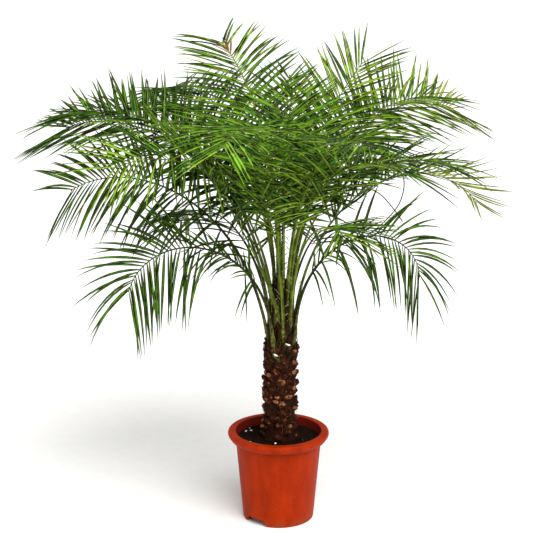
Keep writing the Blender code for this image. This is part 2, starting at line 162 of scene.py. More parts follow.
def between(table: Sequence[tuple[float, float]], place: float) -> float:
    """Reads a table of (place, value) pairs in straight lines.

    Args:
        table: pairs in rising order of place.
        place: where to read it.

    Returns:
        The value there.
    """
    if place <= table[0][0]:
        return table[0][1]
    for (low, first), (high, last) in zip(table, table[1:]):
        if place <= high:
            return first + (last - first) * (place - low) / (high - low)
    return table[-1][1]


def in_scene(name: str, data: object) -> Object:
    """Puts a mesh, a light or a camera in the scene.

    Args:
        name: the object's name.
        data: what it shows.

    Returns:
        The object.
    """
    made = bpy.data.objects.new(name, data)
    bpy.context.scene.collection.objects.link(made)
    return made


def turn_outward(mesh: Mesh) -> None:
    """Turns the faces of closed shells outward.

    Args:
        mesh: the mesh that holds them.
    """
    shape = bmesh.new()
    shape.from_mesh(mesh)
    bmesh.ops.recalc_face_normals(shape, faces=shape.faces)
    shape.to_mesh(mesh)
    shape.free()


def new_object(name: str, points: Iterable, faces: Iterable, material: Material | None = None,
               smooth: float | None = None) -> Object:
    """Makes a mesh object with its faces turned outward.

    Args:
        name: the object's name.
        points: its vertices.
        faces: its faces, as vertex numbers.
        material: its finish.
        smooth: edges sharper than this many degrees stay sharp; None leaves it flat.

    Returns:
        The object, in the scene.
    """
    mesh = bpy.data.meshes.new(name)
    mesh.from_pydata([tuple(point) for point in points], [], list(faces))
    turn_outward(mesh)
    if material is not None:
        mesh.materials.append(material)
    if smooth is not None:
        mesh.shade_smooth()
        mesh.set_sharp_from_angle(angle=math.radians(smooth))
    return in_scene(name, mesh)


def loft(rings: Sequence[Sequence[Vector]]) -> Shell:
    """Joins rings of points to a closed shell.

    Args:
        rings: all with the same number of points, or with one, which is a pole.

    Returns:
        Points and faces.
    """
    points, numbers, faces = [], [], []
    for ring in rings:
        numbers.append(range(len(points), len(points) + len(ring)))
        points += ring
    sides = max(len(ring) for ring in rings)
    for low, high in zip(numbers, numbers[1:]):
        for step in range(sides):
            following = (step + 1) % sides
            corners = (low[step % len(low)], low[following % len(low)],
                       high[following % len(high)], high[step % len(high)])
            faces.append(tuple(dict.fromkeys(corners)))
    faces += [tuple(cap) for cap in (numbers[0][::-1], numbers[-1]) if len(cap) > 1]
    return points, faces


def lathe(outline: Sequence[tuple[float, float]], segments: int) -> Shell:
    """Turns an outline round the Z axis.

    Args:
        outline: (radius, height) pairs; a radius of 0 is a pole.
        segments: faces round the axis.

    Returns:
        Points and faces.
    """
    return loft([[heading(360 * step / segments) * radius + UP * height
                  for step in range(segments if radius > 0 else 1)] for radius, height in outline])


def block(name: str, stations: Sequence[tuple[float, float, float]], sides: int = 10) -> Object:
    """A closed block along +X through lens-shaped sections, a little flatter above than below.

    Args:
        name: the object's name.
        stations: place along X, half width and half thickness of each section.
        sides: points round a section.

    Returns:
        The object.
    """
    flatter = 0.7
    turns = [(2 * math.pi * step / sides, flatter if step < sides / 2 else 1) for step in range(sides)]
    return new_object(name, *loft([
        [Vector((along, wide * math.cos(turn), thick * math.sin(turn) * share)) for turn, share in turns]
        for along, wide, thick in stations]))


def rounded(corners: Sequence[tuple[float, float, float]], steps: int = 4) -> list[tuple[float, float]]:
    """Rounds the corners of an outline with arcs.

    Args:
        corners: radius, height and rounding of each corner.
        steps: lengths of line in one arc.

    Returns:
        The (radius, height) pairs of the rounded outline.
    """
    outline = []
    for number, (radius, height, rounding) in enumerate(corners):
        here = Vector((radius, height))
        if rounding == 0 or number in (0, len(corners) - 1):
            outline.append(tuple(here))
            continue
        before, after = (Vector(corners[other][:2]) - here for other in (number - 1, number + 1))
        reach = min(rounding, before.length / 2, after.length / 2)
        start, stop = here + before.normalized() * reach, here + after.normalized() * reach
        for step in range(steps + 1):
            share = step / steps
            outline.append(tuple(start.lerp(here, share).lerp(here.lerp(stop, share), share)))
    return outline


def place_piece(piece: Object, nodes: Iterable[str]) -> None:
    """Puts a finished piece on the frame in place of its solids, and reports it.

    Args:
        piece: a plain mesh object at the origin.
        nodes: the solids that it stands for.
    """
    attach(piece, "root")
    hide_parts(*nodes)
    triangles = sum(len(face.vertices) - 2 for face in piece.data.polygons)
    log.info("%s: %d triangles", piece.name, triangles)


# Finishes


@dataclass
class Pattern:
    """The outputs of a material's tree that feed its shader.

    Attributes:
        layers: how much of each layer shows over those below it, and its colour.
        height: the relief.
        patches: the broad noise.
        dull: the roughness, where it varies.
    """

    layers: list[tuple[NodeSocket, str]]
    height: NodeSocket
    patches: NodeSocket
    dull: NodeSocket | None = None


@dataclass(frozen=True)
class Surface:
    """A material with layers of colour over a dark ground, and a relief.

    Attributes:
        name: what the real surface is.
        light, dark: the two colours that it varies between, as sRGB hex values.
        roughness: how dull it is, from 0 to 1.
        relief: height of its relief, in millimetres.
        gloss: level of its reflections; 0.5 is a plain dielectric's.
        strength: how much of the relief shows.
    """

    name: str
    light: str
    dark: str
    roughness: float = 0.9
    relief: float = 0.8
    gloss: float = 0.25
    strength: float = 1.0

    def pattern(self, tree: NodeTree) -> Pattern:
        """Each kind of surface makes its own."""
        raise NotImplementedError

    def build(self) -> Material:
        """Builds the material, unless it is there already.

        Returns:
            The material.
        """
        if self.name in bpy.data.materials:
            return bpy.data.materials[self.name]
        material = bpy.data.materials.new(self.name)
        material.use_nodes = True
        tree = material.node_tree
        pattern = self.pattern(tree)
        colour = linear(self.dark)
        for share, over in pattern.layers:
            colour = add_node(tree, "ShaderNodeMix", {0: share, 6: colour, 7: linear(over)}, 2,
                              data_type="RGBA")
        normal = add_node(tree, "ShaderNodeBump", {"Height": pattern.height, "Strength": self.strength,
                                                   "Distance": self.relief * MILLIMETRE})
        feed(tree.nodes["Principled BSDF"], {
            "Base Color": colour, "Normal": normal, "Specular IOR Level": self.gloss,
            "Roughness": self.roughness if pattern.dull is None else pattern.dull})
        return material


@dataclass(frozen=True)
class Finish(Surface):
    """A mottled, grainy surface, patterned by Object coordinates.

    Attributes:
        patch: width of a patch of one colour, in millimetres.
        grain: width of one grain of the relief, in millimetres.
        stretch: how much longer than wide the grain is, along Z.
        dullness_varies: how far the roughness strays with the grain.
    """

    patch: float = 5.0
    grain: float = 1.0
    stretch: float = 1.0
    dullness_varies: float = 0.06

    def pattern(self, tree: NodeTree) -> Pattern:
        """Lets the light colour follow the patches, broken up by the grains.

        Args:
            tree: the material's tree.

        Returns:
            Its outputs.
        """
        here = add_node(tree, "ShaderNodeTexCoord", out="Object")
        place = add_node(tree, "ShaderNodeMapping", {"Vector": here, "Scale": (1, 1, 1 / self.stretch)})
        patches, grains = (
            add_node(tree, "ShaderNodeTexNoise", {"Vector": place, "Scale": 1000 / width, "Detail": detail})
            for width, detail in ((self.patch, 3.0), (self.grain, 2.0)))
        both = add_node(tree, "ShaderNodeMath", {0: patches, 1: grains}, operation="ADD")
        share = add_node(tree, "ShaderNodeMapRange", {"Value": both, "From Min": 0.75, "From Max": 1.25})
        dull = add_node(tree, "ShaderNodeMapRange", {
            "Value": grains, "To Min": self.roughness - self.dullness_varies,
            "To Max": self.roughness + self.dullness_varies})
        return Pattern([(share, self.light)], grains, patches, dull)


@dataclass(frozen=True)
class MouldedPlastic(Finish):
    """Injection-moulded plastic, a darker red inside as painted shade, and dusty low down on its wall.

    Attributes:
        foot: radius of the wall's middle at the ground.
        taper: how far that radius grows for each metre up.
        inner_shade, inner_shade_share: painted shade on the inner side, a darker red, and how much of it
            shows.
        dust, dust_share: the dust's colour, and how much of it shows at the ground.
        dust_height: how high up it lies, in metres.
    """

    foot: float = 0.0894
    taper: float = 0.0900
    # Painted shade of the pot's inner side, a darker red
    inner_shade: str = "#5c1410"
    inner_shade_share: float = 0.85
    dust: str = "#6f4326"
    dust_share: float = 0.6
    dust_height: float = 0.022

    def pattern(self, tree: NodeTree) -> Pattern:
        """Adds the painted shade inside and the dust.

        Args:
            tree: the material's tree.

        Returns:
            Its outputs.
        """
        pattern = super().pattern(tree)
        here = add_node(tree, "ShaderNodeTexCoord", out="Object")
        height = add_node(tree, "ShaderNodeSeparateXYZ", {0: here}, 2)
        level = add_node(tree, "ShaderNodeVectorMath", {0: here, 1: (1, 1, 0)}, operation="MULTIPLY")
        reach = add_node(tree, "ShaderNodeVectorMath", {0: level}, 1, operation="LENGTH")
        wall = add_node(tree, "ShaderNodeMath", {0: height, 1: self.taper, 2: self.foot},
                        operation="MULTIPLY_ADD")
        within = add_node(tree, "ShaderNodeMath", {0: wall, 1: reach}, operation="SUBTRACT")
        # Painted shade: the inside of the wall and the floor turns a darker red
        inside = add_node(tree, "ShaderNodeMapRange", {
            "Value": within, "From Min": 0.0, "From Max": 0.0008, "To Max": self.inner_shade_share})
        low = add_node(tree, "ShaderNodeMapRange", {
            "Value": height, "From Min": self.dust_height, "From Max": 0.0, "To Max": self.dust_share})
        specks = add_node(tree, "ShaderNodeMapRange", {
            "Value": pattern.patches, "From Min": 0.42, "From Max": 0.60})
        dusty = add_node(tree, "ShaderNodeMath", {0: low, 1: specks}, operation="MULTIPLY")
        pattern.layers += [(inside, self.inner_shade), (dusty, self.dust)]
        return pattern


@dataclass(frozen=True)
class WornBark(Finish):
    """Old leaf bases, torn in spots where the paler pith shows.

    Attributes:
        pith: colour of the spots.
        spot: width of a spot, in millimetres.
        bare_from, bare_all: levels of the noise at which the pith starts to show, and shows in full.
    """

    pith: str = "#96522f"
    spot: float = 11.0
    bare_from: float = 0.57
    bare_all: float = 0.67

    def pattern(self, tree: NodeTree) -> Pattern:
        """Adds the pith.

        Args:
            tree: the material's tree.

        Returns:
            Its outputs.
        """
        pattern = super().pattern(tree)
        here = add_node(tree, "ShaderNodeTexCoord", out="Object")
        spots = add_node(tree, "ShaderNodeTexNoise", {
            "Vector": here, "Scale": 1000 / self.spot, "Detail": 4.0, "Roughness": 0.7})
        bare = add_node(tree, "ShaderNodeMapRange", {
            "Value": spots, "From Min": self.bare_from, "From Max": self.bare_all})
        pattern.layers.append((bare, self.pith))
        return pattern


@dataclass(frozen=True)
class LeafFinish(Surface):
    """The skin of a palm leaflet or stalk, patterned by its UV map, with veins along it, over a dark ground
    of painted shade.

    Attributes:
        midrib_and_highlight: colour along its middle, a paler midrib widened into a painted highlight.
        vein: spacing of its veins, as a share of its width.
    """

    roughness: float = 0.42
    relief: float = 0.15
    gloss: float = 0.11
    strength: float = 0.5
    midrib_and_highlight: str = "#769e28"
    vein: float = 0.12

    def pattern(self, tree: NodeTree) -> Pattern:
        """Mottles the skin in broad patches over painted shade, and lays the midrib, widened as a painted
        highlight, and the veins along it.

        Args:
            tree: the material's tree.

        Returns:
            Its outputs.
        """
        source = add_node(tree, "ShaderNodeTexCoord").node.outputs
        across = add_node(tree, "ShaderNodeSeparateXYZ", {0: source["UV"]})
        # Painted shade: broad patches of the dark ground show between those of the skin's colour
        patches = add_node(tree, "ShaderNodeTexNoise", {"Vector": source["Object"], "Scale": 40.0,
                                                        "Detail": 2.0})
        share = add_node(tree, "ShaderNodeMapRange", {"Value": patches, "From Min": 0.44, "From Max": 0.59})
        off_middle = add_node(tree, "ShaderNodeMath", {0: across, 1: 0.5}, operation="SUBTRACT")
        from_middle = add_node(tree, "ShaderNodeMath", {0: off_middle}, operation="ABSOLUTE")
        # The middle band: the paler midrib, widened into a painted highlight that leaves the edges darker,
        # as painted shade
        middle = add_node(tree, "ShaderNodeMapRange", {
            "Value": from_middle, "From Min": 0.24, "From Max": 0.02, "To Max": 0.8})
        turns = add_node(tree, "ShaderNodeMath", {0: across, 1: 2 * math.pi / self.vein},
                         operation="MULTIPLY")
        veins = add_node(tree, "ShaderNodeMath", {0: turns}, operation="SINE")
        return Pattern([(share, self.light), (middle, self.midrib_and_highlight)], veins, patches)


@dataclass(frozen=True)
class StalkFinish(LeafFinish):
    """The skin of a frond's stalk, brown and scurfy at its foot and green further out.

    Attributes:
        husk: colour at the foot.
        husk_share: how much of it shows there.
        green_from: share of the frond's length at which the brown has gone.
    """

    husk: str = "#3a2412"
    husk_share: float = 0.95
    green_from: float = 0.17

    def pattern(self, tree: NodeTree) -> Pattern:
        """Adds the husk's brown towards the foot.

        Args:
            tree: the material's tree.

        Returns:
            Its outputs.
        """
        pattern = super().pattern(tree)
        source = add_node(tree, "ShaderNodeTexCoord").node.outputs
        along = add_node(tree, "ShaderNodeSeparateXYZ", {0: source["UV"]}, 1)
        foot = add_node(tree, "ShaderNodeMapRange", {
            "Value": along, "From Min": self.green_from, "From Max": 0.02, "To Max": self.husk_share})
        scurf = add_node(tree, "ShaderNodeTexNoise", {"Vector": source["Object"], "Scale": 160.0,
                                                      "Detail": 2.0})
        flecks = add_node(tree, "ShaderNodeMapRange", {"Value": scurf, "From Min": 0.38, "From Max": 0.56})
        brown = add_node(tree, "ShaderNodeMath", {0: foot, 1: flecks}, operation="MULTIPLY")
        pattern.layers.append((brown, self.husk))
        return pattern


# Polypropylene, moulded: an even satin orange, a little chalky and scuffed
POT_PLASTIC = MouldedPlastic("moulded_polypropylene", "#a22c02", "#862001", roughness=0.5, relief=0.05,
                             gloss=0.05, patch=26, grain=1.6, stretch=3.0)
# Peat compost, moist and crumbled: nearly black, with lighter brown crumbs
COMPOST = Finish("moist_peat_compost", "#24130a", "#050201", roughness=0.95, relief=0.9, gloss=0.08,
                 grain=1.8)
# Perlite, a popped volcanic glass: chalk white and pitted
PERLITE = Finish("perlite", "#f8f4ea", "#d8d0c0", relief=0.3, patch=2, grain=0.6)
# Old leaf bases, weathered and fibrous: reddish brown with grain that runs up the trunk
LEAF_BASE = WornBark("weathered_leaf_base", "#421d0f", "#090302", roughness=0.85, relief=1.2, gloss=0.08,
                     patch=11, grain=2.2, stretch=2.5)
# Matted fibre between the leaf bases: dark brown and rough
FIBRE_MAT = Finish("palm_fibre_mat", "#33190c", "#0b0402", gloss=0.08, patch=6, grain=0.7, stretch=6.0)
# Torn sheath that clings to the stalks: a coarse brown net with paler threads
SHEATH_NET = Finish("torn_leaf_sheath", "#3c2411", "#0a0502", relief=0.7, gloss=0.08, patch=4, grain=0.9,
                    stretch=2.0)
# Clasping foot of a stalk: leathery olive skin going brown in streaks
CLASP = Finish("clasping_stalk_foot", "#5f6424", "#33240f", roughness=0.6, relief=0.4, gloss=0.15,
               patch=9, stretch=5.0)
# Sawn end of an old leaf base, dried pithy: pinkish tan, mottled dark brown in spots, partly browning and
# partly painted shade
DRY_CUT = Finish("dried_cut_pith", "#a4704a", "#240f08", relief=0.9, gloss=0.08, patch=3.5, grain=2.0)
# Fresh cut of a stalk: moist cream-white pith
FRESH_CUT = Finish("fresh_cut_pith", "#fffdf4", "#f0e9d2", roughness=0.6, relief=0.25, patch=3, grain=0.7)
# Painted floor of a studio: nearly white and even
FLOOR_PAINT = Finish("painted_floor", "#f6f5f3", "#f2f1ef", roughness=0.7, relief=0.02, patch=400, grain=30)
# Loose fibres of the leaf sheaths: tan threads
FIBRE = LeafFinish("sheath_fibre", "#5e3d25", "#24140a", roughness=0.8, midrib_and_highlight="#5e3d25")
# Strips that split off a leaf's edge as it opens, dried nearly black
DRIED_STRIP = LeafFinish("dried_leaf_strip", "#2c2a12", "#171509", roughness=0.8, midrib_and_highlight="#2c2a12")
# Petiole skin: smooth waxy olive green, brown at the foot
STALK = StalkFinish("waxy_petiole", "#5a6e1a", "#33460f", roughness=0.45, midrib_and_highlight="#86922f")
# Petioles of the oldest fronds: the same skin, duller, and darker partly with age and partly as painted
# shade
OLD_SHADED_STALK = StalkFinish("aged_petiole", "#364214", "#171f07", roughness=0.5, midrib_and_highlight="#4a5520",
                        husk="#6c6a2a")
# Spines at the foot of a stalk: stiff, pale and yellowish
SPINE = LeafFinish("petiole_spine", "#b7b567", "#8f9448", roughness=0.5, midrib_and_highlight="#c9c680")

LEAFLET_SKINS = {
    # Leaflets are leathery and waxy; older fronds hold the darkest green, partly as painted shade, and the
    # sunlit skin is a lighter copy of the green, as painted light
    Tone.OLD: LeafFinish("leaflet_old_green", "#33580f", "#050c02", midrib_and_highlight="#587c20"),
    Tone.MATURE: LeafFinish("leaflet_green", "#467a12", "#071202", midrib_and_highlight="#769e28"),
    Tone.SUNLIT: LeafFinish("leaflet_sunlit_green", "#76a01f", "#102104", midrib_and_highlight="#a8c83c"),
    Tone.FRESH: LeafFinish("leaflet_fresh_green", "#70aa22", "#163008", midrib_and_highlight="#a4d244"),
    # A leaflet that ages or is short of food turns yellow, then dries to straw brown
    Tone.YELLOWING: LeafFinish("leaflet_yellowing", "#8a9c28", "#505f14", midrib_and_highlight="#c0c850"),
    Tone.DRIED: LeafFinish("leaflet_dried", "#8a5c26", "#5e3c18", roughness=0.7, midrib_and_highlight="#a07a42"),
}


# Growth: the trees that repeat a shape on points or carry a section along a path

# What a grown mesh keeps of its attributes
KEPT_ATTRIBUTES = {"UVMap", "position", "material_index", "sharp_face", "sharp_edge"}
# The named values that points, paths and grown shapes have at each point, and their kind
COLUMNS = {"facing": "FLOAT_VECTOR", "upper": "FLOAT_VECTOR", "size": "FLOAT_VECTOR",
           "bend": "FLOAT_VECTOR", "radius": "FLOAT", "across": "FLOAT", "along": "FLOAT"}


class Host:
    """Points that a growth runs on, with a vector or a number in each named column.

    Attributes:
        names: the columns.
        places: the points.
        edges: pairs of points that follow each other on a line.
        columns: the values of each column, point by point.
    """

    names: tuple[str, ...] = ()

    def __init__(self) -> None:
        """Starts with no points."""
        self.places: list[Vector] = []
        self.edges: list[tuple[int, int]] = []
        self.columns: dict[str, list] = {name: [] for name in self.names}

    def put(self, place: Vector, *values: Vector | float) -> None:
        """Adds one point.

        Args:
            place: where it is.
            *values: one for each column.
        """
        self.places.append(place)
        for column, value in zip(self.columns.values(), values):
            column.append(value)

    def mesh(self, name: str) -> Mesh:
        """Makes a mesh of the points, with an attribute for each column.

        Args:
            name: the mesh's name.

        Returns:
            The mesh.
        """
        mesh = bpy.data.meshes.new(name)
        mesh.from_pydata([tuple(place) for place in self.places], self.edges, [])
        for column, values in self.columns.items():
            attribute = mesh.attributes.new(column, COLUMNS[column], "POINT")
            if COLUMNS[column] == "FLOAT":
                attribute.data.foreach_set("value", values)
            else:
                attribute.data.foreach_set("vector", [part for value in values for part in value])
        return mesh


class Points(Host):
    """Points that shapes grow on."""

    names = ("facing", "upper", "size", "bend")

    def add(self, place: Vector, facing: Vector, upper: Vector, size: Sequence[float],
            bend: Vector = Vector()) -> None:
        """Adds one point.

        Args:
            place: where the shape's root is.
            facing: the direction of its length.
            upper: the direction of its upper side.
            size: its length, half width and half thickness.
            bend: how far its tip is carried off by the curve of its length.
        """
        self.put(place, facing, upper, Vector(size), bend)


class Paths(Host):
    """Lines that a stalk's section is carried along."""

    names = ("upper", "radius", "along")

    def add(self, line: Iterable[tuple[Vector, Vector, float, float]]) -> None:
        """Adds one line.

        Args:
            line: place, upper direction, radius and share of the length, point by point.
        """
        for step, row in enumerate(line):
            if step:
                self.edges.append((len(self.places) - 1, len(self.places)))
            self.put(*row)


@dataclass(frozen=True)
class Growth:
    """A Geometry Nodes tree, to be run on points or lines.

    Attributes:
        tree: the tree.
    """

    tree: NodeTree

    def grow(self, name: str, host: Host, values: dict[str, object], nodes: Iterable[str],
             smooth: bool = False) -> None:
        """Runs the tree, keeps its result as a plain mesh and puts it on the frame.

        Args:
            name: the piece's name.
            host: the points or lines.
            values: a value for each of the tree's named inputs.
            nodes: the solids that it stands for.
            smooth: whether the faces are shaded smooth.
        """
        made = in_scene(name, host.mesh(name))
        modifier = made.modifiers.new("growth", "NODES")
        modifier.node_group = self.tree
        for socket in self.tree.interface.items_tree:
            if socket.name in values:
                modifier[socket.identifier] = values[socket.name]
        depsgraph = bpy.context.evaluated_depsgraph_get()
        grown = bpy.data.meshes.new_from_object(made.evaluated_get(depsgraph),
                                                preserve_all_data_layers=True, depsgraph=depsgraph)
        made.modifiers.remove(modifier)
        made.data = grown
        grown.name = name
        for attribute in [row.name for row in grown.attributes]:
            if attribute not in KEPT_ATTRIBUTES and not attribute.startswith("."):
                grown.attributes.remove(grown.attributes[attribute])
        turn_outward(grown)
        if smooth:
            grown.shade_smooth()
        place_piece(made, nodes)


def new_tree(name: str, sockets: dict[str, str],
             *names: str) -> tuple[NodeTree, dict[str, NodeSocket]]:
    """Starts a Geometry Nodes tree.

    Args:
        name: the tree's name.
        sockets: the kind of socket for each named input after the geometry.
        *names: the columns that it reads.

    Returns:
        The tree, and the outputs with its inputs and its columns, by name.
    """
    tree = bpy.data.node_groups.new(name, "GeometryNodeTree")
    tree.is_modifier = True
    tree.interface.new_socket("Geometry", in_out="INPUT", socket_type="NodeSocketGeometry")
    for label, kind in sockets.items():
        tree.interface.new_socket(label, in_out="INPUT", socket_type="NodeSocket" + kind)
    tree.interface.new_socket("Geometry", in_out="OUTPUT", socket_type="NodeSocketGeometry")
    given = {socket.name: socket for socket in add_node(tree, "NodeGroupInput").node.outputs}
    for column in names:
        given[column] = add_node(tree, "GeometryNodeInputNamedAttribute", {"Name": column},
                                 data_type=COLUMNS[column])
    return tree, given


def on_points(tree: NodeTree, given: dict[str, NodeSocket], shape: NodeSocket,
              size: NodeSocket) -> NodeSocket:
    """Copies a shape onto points, turned by their directions, as real geometry.

    Args:
        tree: the tree.
        given: what it is given, with the points.
        shape: the output with the shape, with its length along +X and its upper side +Z.
        size: the output with each copy's scale.

    Returns:
        The output with the realized copies.
    """
    turn = add_node(tree, "FunctionNodeAxesToRotation", {0: given["facing"], 1: given["upper"]},
                    primary_axis="X", secondary_axis="Z")
    copies = add_node(tree, "GeometryNodeInstanceOnPoints",
                      {"Points": given["Geometry"], "Instance": shape, "Rotation": turn, "Scale": size})
    return add_node(tree, "GeometryNodeRealizeInstances", {0: copies})


def swept(tree: NodeTree, path: NodeSocket, section: NodeSocket, side: NodeSocket,
          width: NodeSocket) -> NodeSocket:
    """Carries a section along a path, and stores for each point how far across the section it is.

    Args:
        tree: the tree.
        path: the output with the path.
        section: the output with the section.
        side: the output with a place on the section, from -1 to 1.
        width: the output with the section's scale.

    Returns:
        The output with the mesh.
    """
    across = add_node(tree, "ShaderNodeMapRange", {"Value": side, "From Min": -1.0})
    crossed = add_node(tree, "GeometryNodeStoreNamedAttribute",
                       {"Geometry": section, "Name": "across", "Value": across})
    return add_node(tree, "GeometryNodeCurveToMesh",
                    {"Curve": path, "Profile Curve": crossed, "Scale": width, "Fill Caps": True})


def dressed(tree: NodeTree, given: dict[str, NodeSocket], shape: NodeSocket, swept_out: bool) -> Growth:
    """Ends a tree: sets the UV map and the material, and sends the geometry out.

    Args:
        tree: the tree.
        given: what it is given, with the material.
        shape: the output with the geometry.
        swept_out: whether it was swept, and gets a UV map that runs across it and along it.

    Returns:
        The growth.
    """
    if swept_out:
        flat = add_node(tree, "ShaderNodeCombineXYZ", {0: given["across"], 1: given["along"]})
        shape = add_node(tree, "GeometryNodeStoreNamedAttribute",
                         {"Geometry": shape, "Name": "UVMap", "Value": flat}, data_type="FLOAT2",
                         domain="CORNER")
    done = add_node(tree, "GeometryNodeSetMaterial", {"Geometry": shape, "Material": given["Material"]})
    feed(tree.nodes.new("NodeGroupOutput"), {0: done})
    return Growth(tree)


def blade_growth(profile: Sequence[tuple[float, float]]) -> Growth:
    """Tree that grows a folded, bent blade on each point, such as a leaflet, spine or fibre.

    Args:
        profile: the blade's width at places along it, both as shares.

    Returns:
        The growth, with inputs for the blade's section and the spread of its widths.
    """
    tree, given = new_tree("blades_on_points", {
        "Segments": "Int", "Fold": "Float", "Thickness": "Float", "Width Variation": "Float",
        "Seed": "Int", "Material": "Material"}, "facing", "upper", "size", "bend", "across", "along")
    count = add_node(tree, "ShaderNodeMath", {0: given["Segments"], 1: 1.0}, operation="ADD")
    line = add_node(tree, "GeometryNodeCurvePrimitiveLine", {"End": (1, 0, 0)})
    spine = add_node(tree, "GeometryNodeResampleCurve", {"Curve": line, "Count": count})
    factor = add_node(tree, "GeometryNodeSplineParameter", out="Factor")
    marked = add_node(tree, "GeometryNodeStoreNamedAttribute",
                      {"Geometry": spine, "Name": "along", "Value": factor})
    width = add_node(tree, "ShaderNodeFloatCurve", {"Value": factor})
    curve = width.node.mapping
    while len(curve.curves[0].points) < len(profile):
        curve.curves[0].points.new(0.5, 0.5)
    for point, place in zip(curve.curves[0].points, profile):
        point.location = place
    curve.update()

    raised = add_node(tree, "ShaderNodeMath", {0: given["Fold"], 1: given["Thickness"]},
                      operation="SUBTRACT")
    lower, upper = (add_node(tree, "ShaderNodeCombineXYZ", {1: height})
                    for height in (given["Fold"], raised))
    section = add_node(tree, "GeometryNodeCurvePrimitiveQuadrilateral",
                       {"Point 1": (-1, 0, 0), "Point 2": lower, "Point 3": (1, 0, 0), "Point 4": upper},
                       mode="POINTS")
    here = add_node(tree, "GeometryNodeInputPosition")
    blade = swept(tree, marked, section, add_node(tree, "ShaderNodeSeparateXYZ", {0: here}), width)

    narrowest = add_node(tree, "ShaderNodeMath", {0: 0.0, 1: given["Width Variation"]},
                         operation="SUBTRACT")
    varied = add_node(tree, "FunctionNodeRandomValue",
                      {2: narrowest, 3: given["Width Variation"], "Seed": given["Seed"]}, 1,
                      data_type="FLOAT")
    share = add_node(tree, "ShaderNodeMath", {0: varied, 1: 1.0}, operation="ADD")
    scale = add_node(tree, "ShaderNodeCombineXYZ", {0: 1.0, 1: share, 2: share})
    size = add_node(tree, "ShaderNodeVectorMath", {0: given["size"], 1: scale}, operation="MULTIPLY")
    copies = on_points(tree, given, blade, size)

    squared = add_node(tree, "ShaderNodeMath", {0: given["along"], 1: given["along"]}, operation="MULTIPLY")
    offset = add_node(tree, "ShaderNodeVectorMath", {0: given["bend"], "Scale": squared}, operation="SCALE")
    bent = add_node(tree, "GeometryNodeSetPosition", {"Geometry": copies, "Offset": offset})
    return dressed(tree, given, bent, swept_out=True)


def lump_growth() -> Growth:
    """Tree that copies a shape onto each point and roughens every copy in its own way.

    Returns:
        The growth, with inputs for the shape, and for the height and width of its roughness.
    """
    tree, given = new_tree("lumps_on_points", {
        "Shape": "Object", "Relief": "Float", "Grain": "Float", "Seed": "Int", "Material": "Material"},
        "facing", "upper", "size")
    shape = add_node(tree, "GeometryNodeObjectInfo", {"Object": given["Shape"]}, "Geometry")
    copies = on_points(tree, given, shape, given["size"])
    fine = add_node(tree, "ShaderNodeMath", {0: 1.0, 1: given["Grain"]}, operation="DIVIDE")
    rough = add_node(tree, "ShaderNodeTexNoise", {"W": given["Seed"], "Scale": fine, "Detail": 1.0},
                     noise_dimensions="4D")
    height = add_node(tree, "ShaderNodeMath", {0: rough, 1: 0.5}, operation="SUBTRACT")
    push = add_node(tree, "ShaderNodeMath", {0: height, 1: given["Relief"]}, operation="MULTIPLY")
    outward = add_node(tree, "GeometryNodeInputNormal")
    offset = add_node(tree, "ShaderNodeVectorMath", {0: outward, "Scale": push}, operation="SCALE")
    worn = add_node(tree, "GeometryNodeSetPosition", {"Geometry": copies, "Offset": offset})
    return dressed(tree, given, worn, swept_out=False)


def stalk_growth() -> Growth:
    """Tree that carries a section, round below and flat above, along each path.

    Returns:
        The growth, with inputs for the section's points and for its depth below and above.
    """
    tree, given = new_tree("stalks_on_paths", {
        "Sides": "Int", "Depth": "Float", "Crown": "Float", "Material": "Material"},
        "upper", "radius", "across", "along")
    circle = add_node(tree, "GeometryNodeCurvePrimitiveCircle",
                      {"Resolution": given["Sides"], "Radius": 1.0})
    here = add_node(tree, "GeometryNodeInputPosition")
    low, side, _ = add_node(tree, "ShaderNodeSeparateXYZ", {0: here}).node.outputs
    deep = add_node(tree, "ShaderNodeMath", {0: low, 1: given["Depth"]}, operation="MULTIPLY")
    flat = add_node(tree, "ShaderNodeMath", {0: deep, 1: given["Crown"]}, operation="MINIMUM")
    moved = add_node(tree, "ShaderNodeCombineXYZ", {0: flat, 1: side})
    section = add_node(tree, "GeometryNodeSetPosition", {"Geometry": circle, "Position": moved})
    path = add_node(tree, "GeometryNodeMeshToCurve", {"Mesh": given["Geometry"]})
    turned = add_node(tree, "GeometryNodeSetCurveNormal", {"Curve": path, "Normal": given["upper"]},
                      mode="FREE")
    stalk = swept(tree, turned, section, side, given["radius"])
    return dressed(tree, given, stalk, swept_out=True)


# Pot and compost


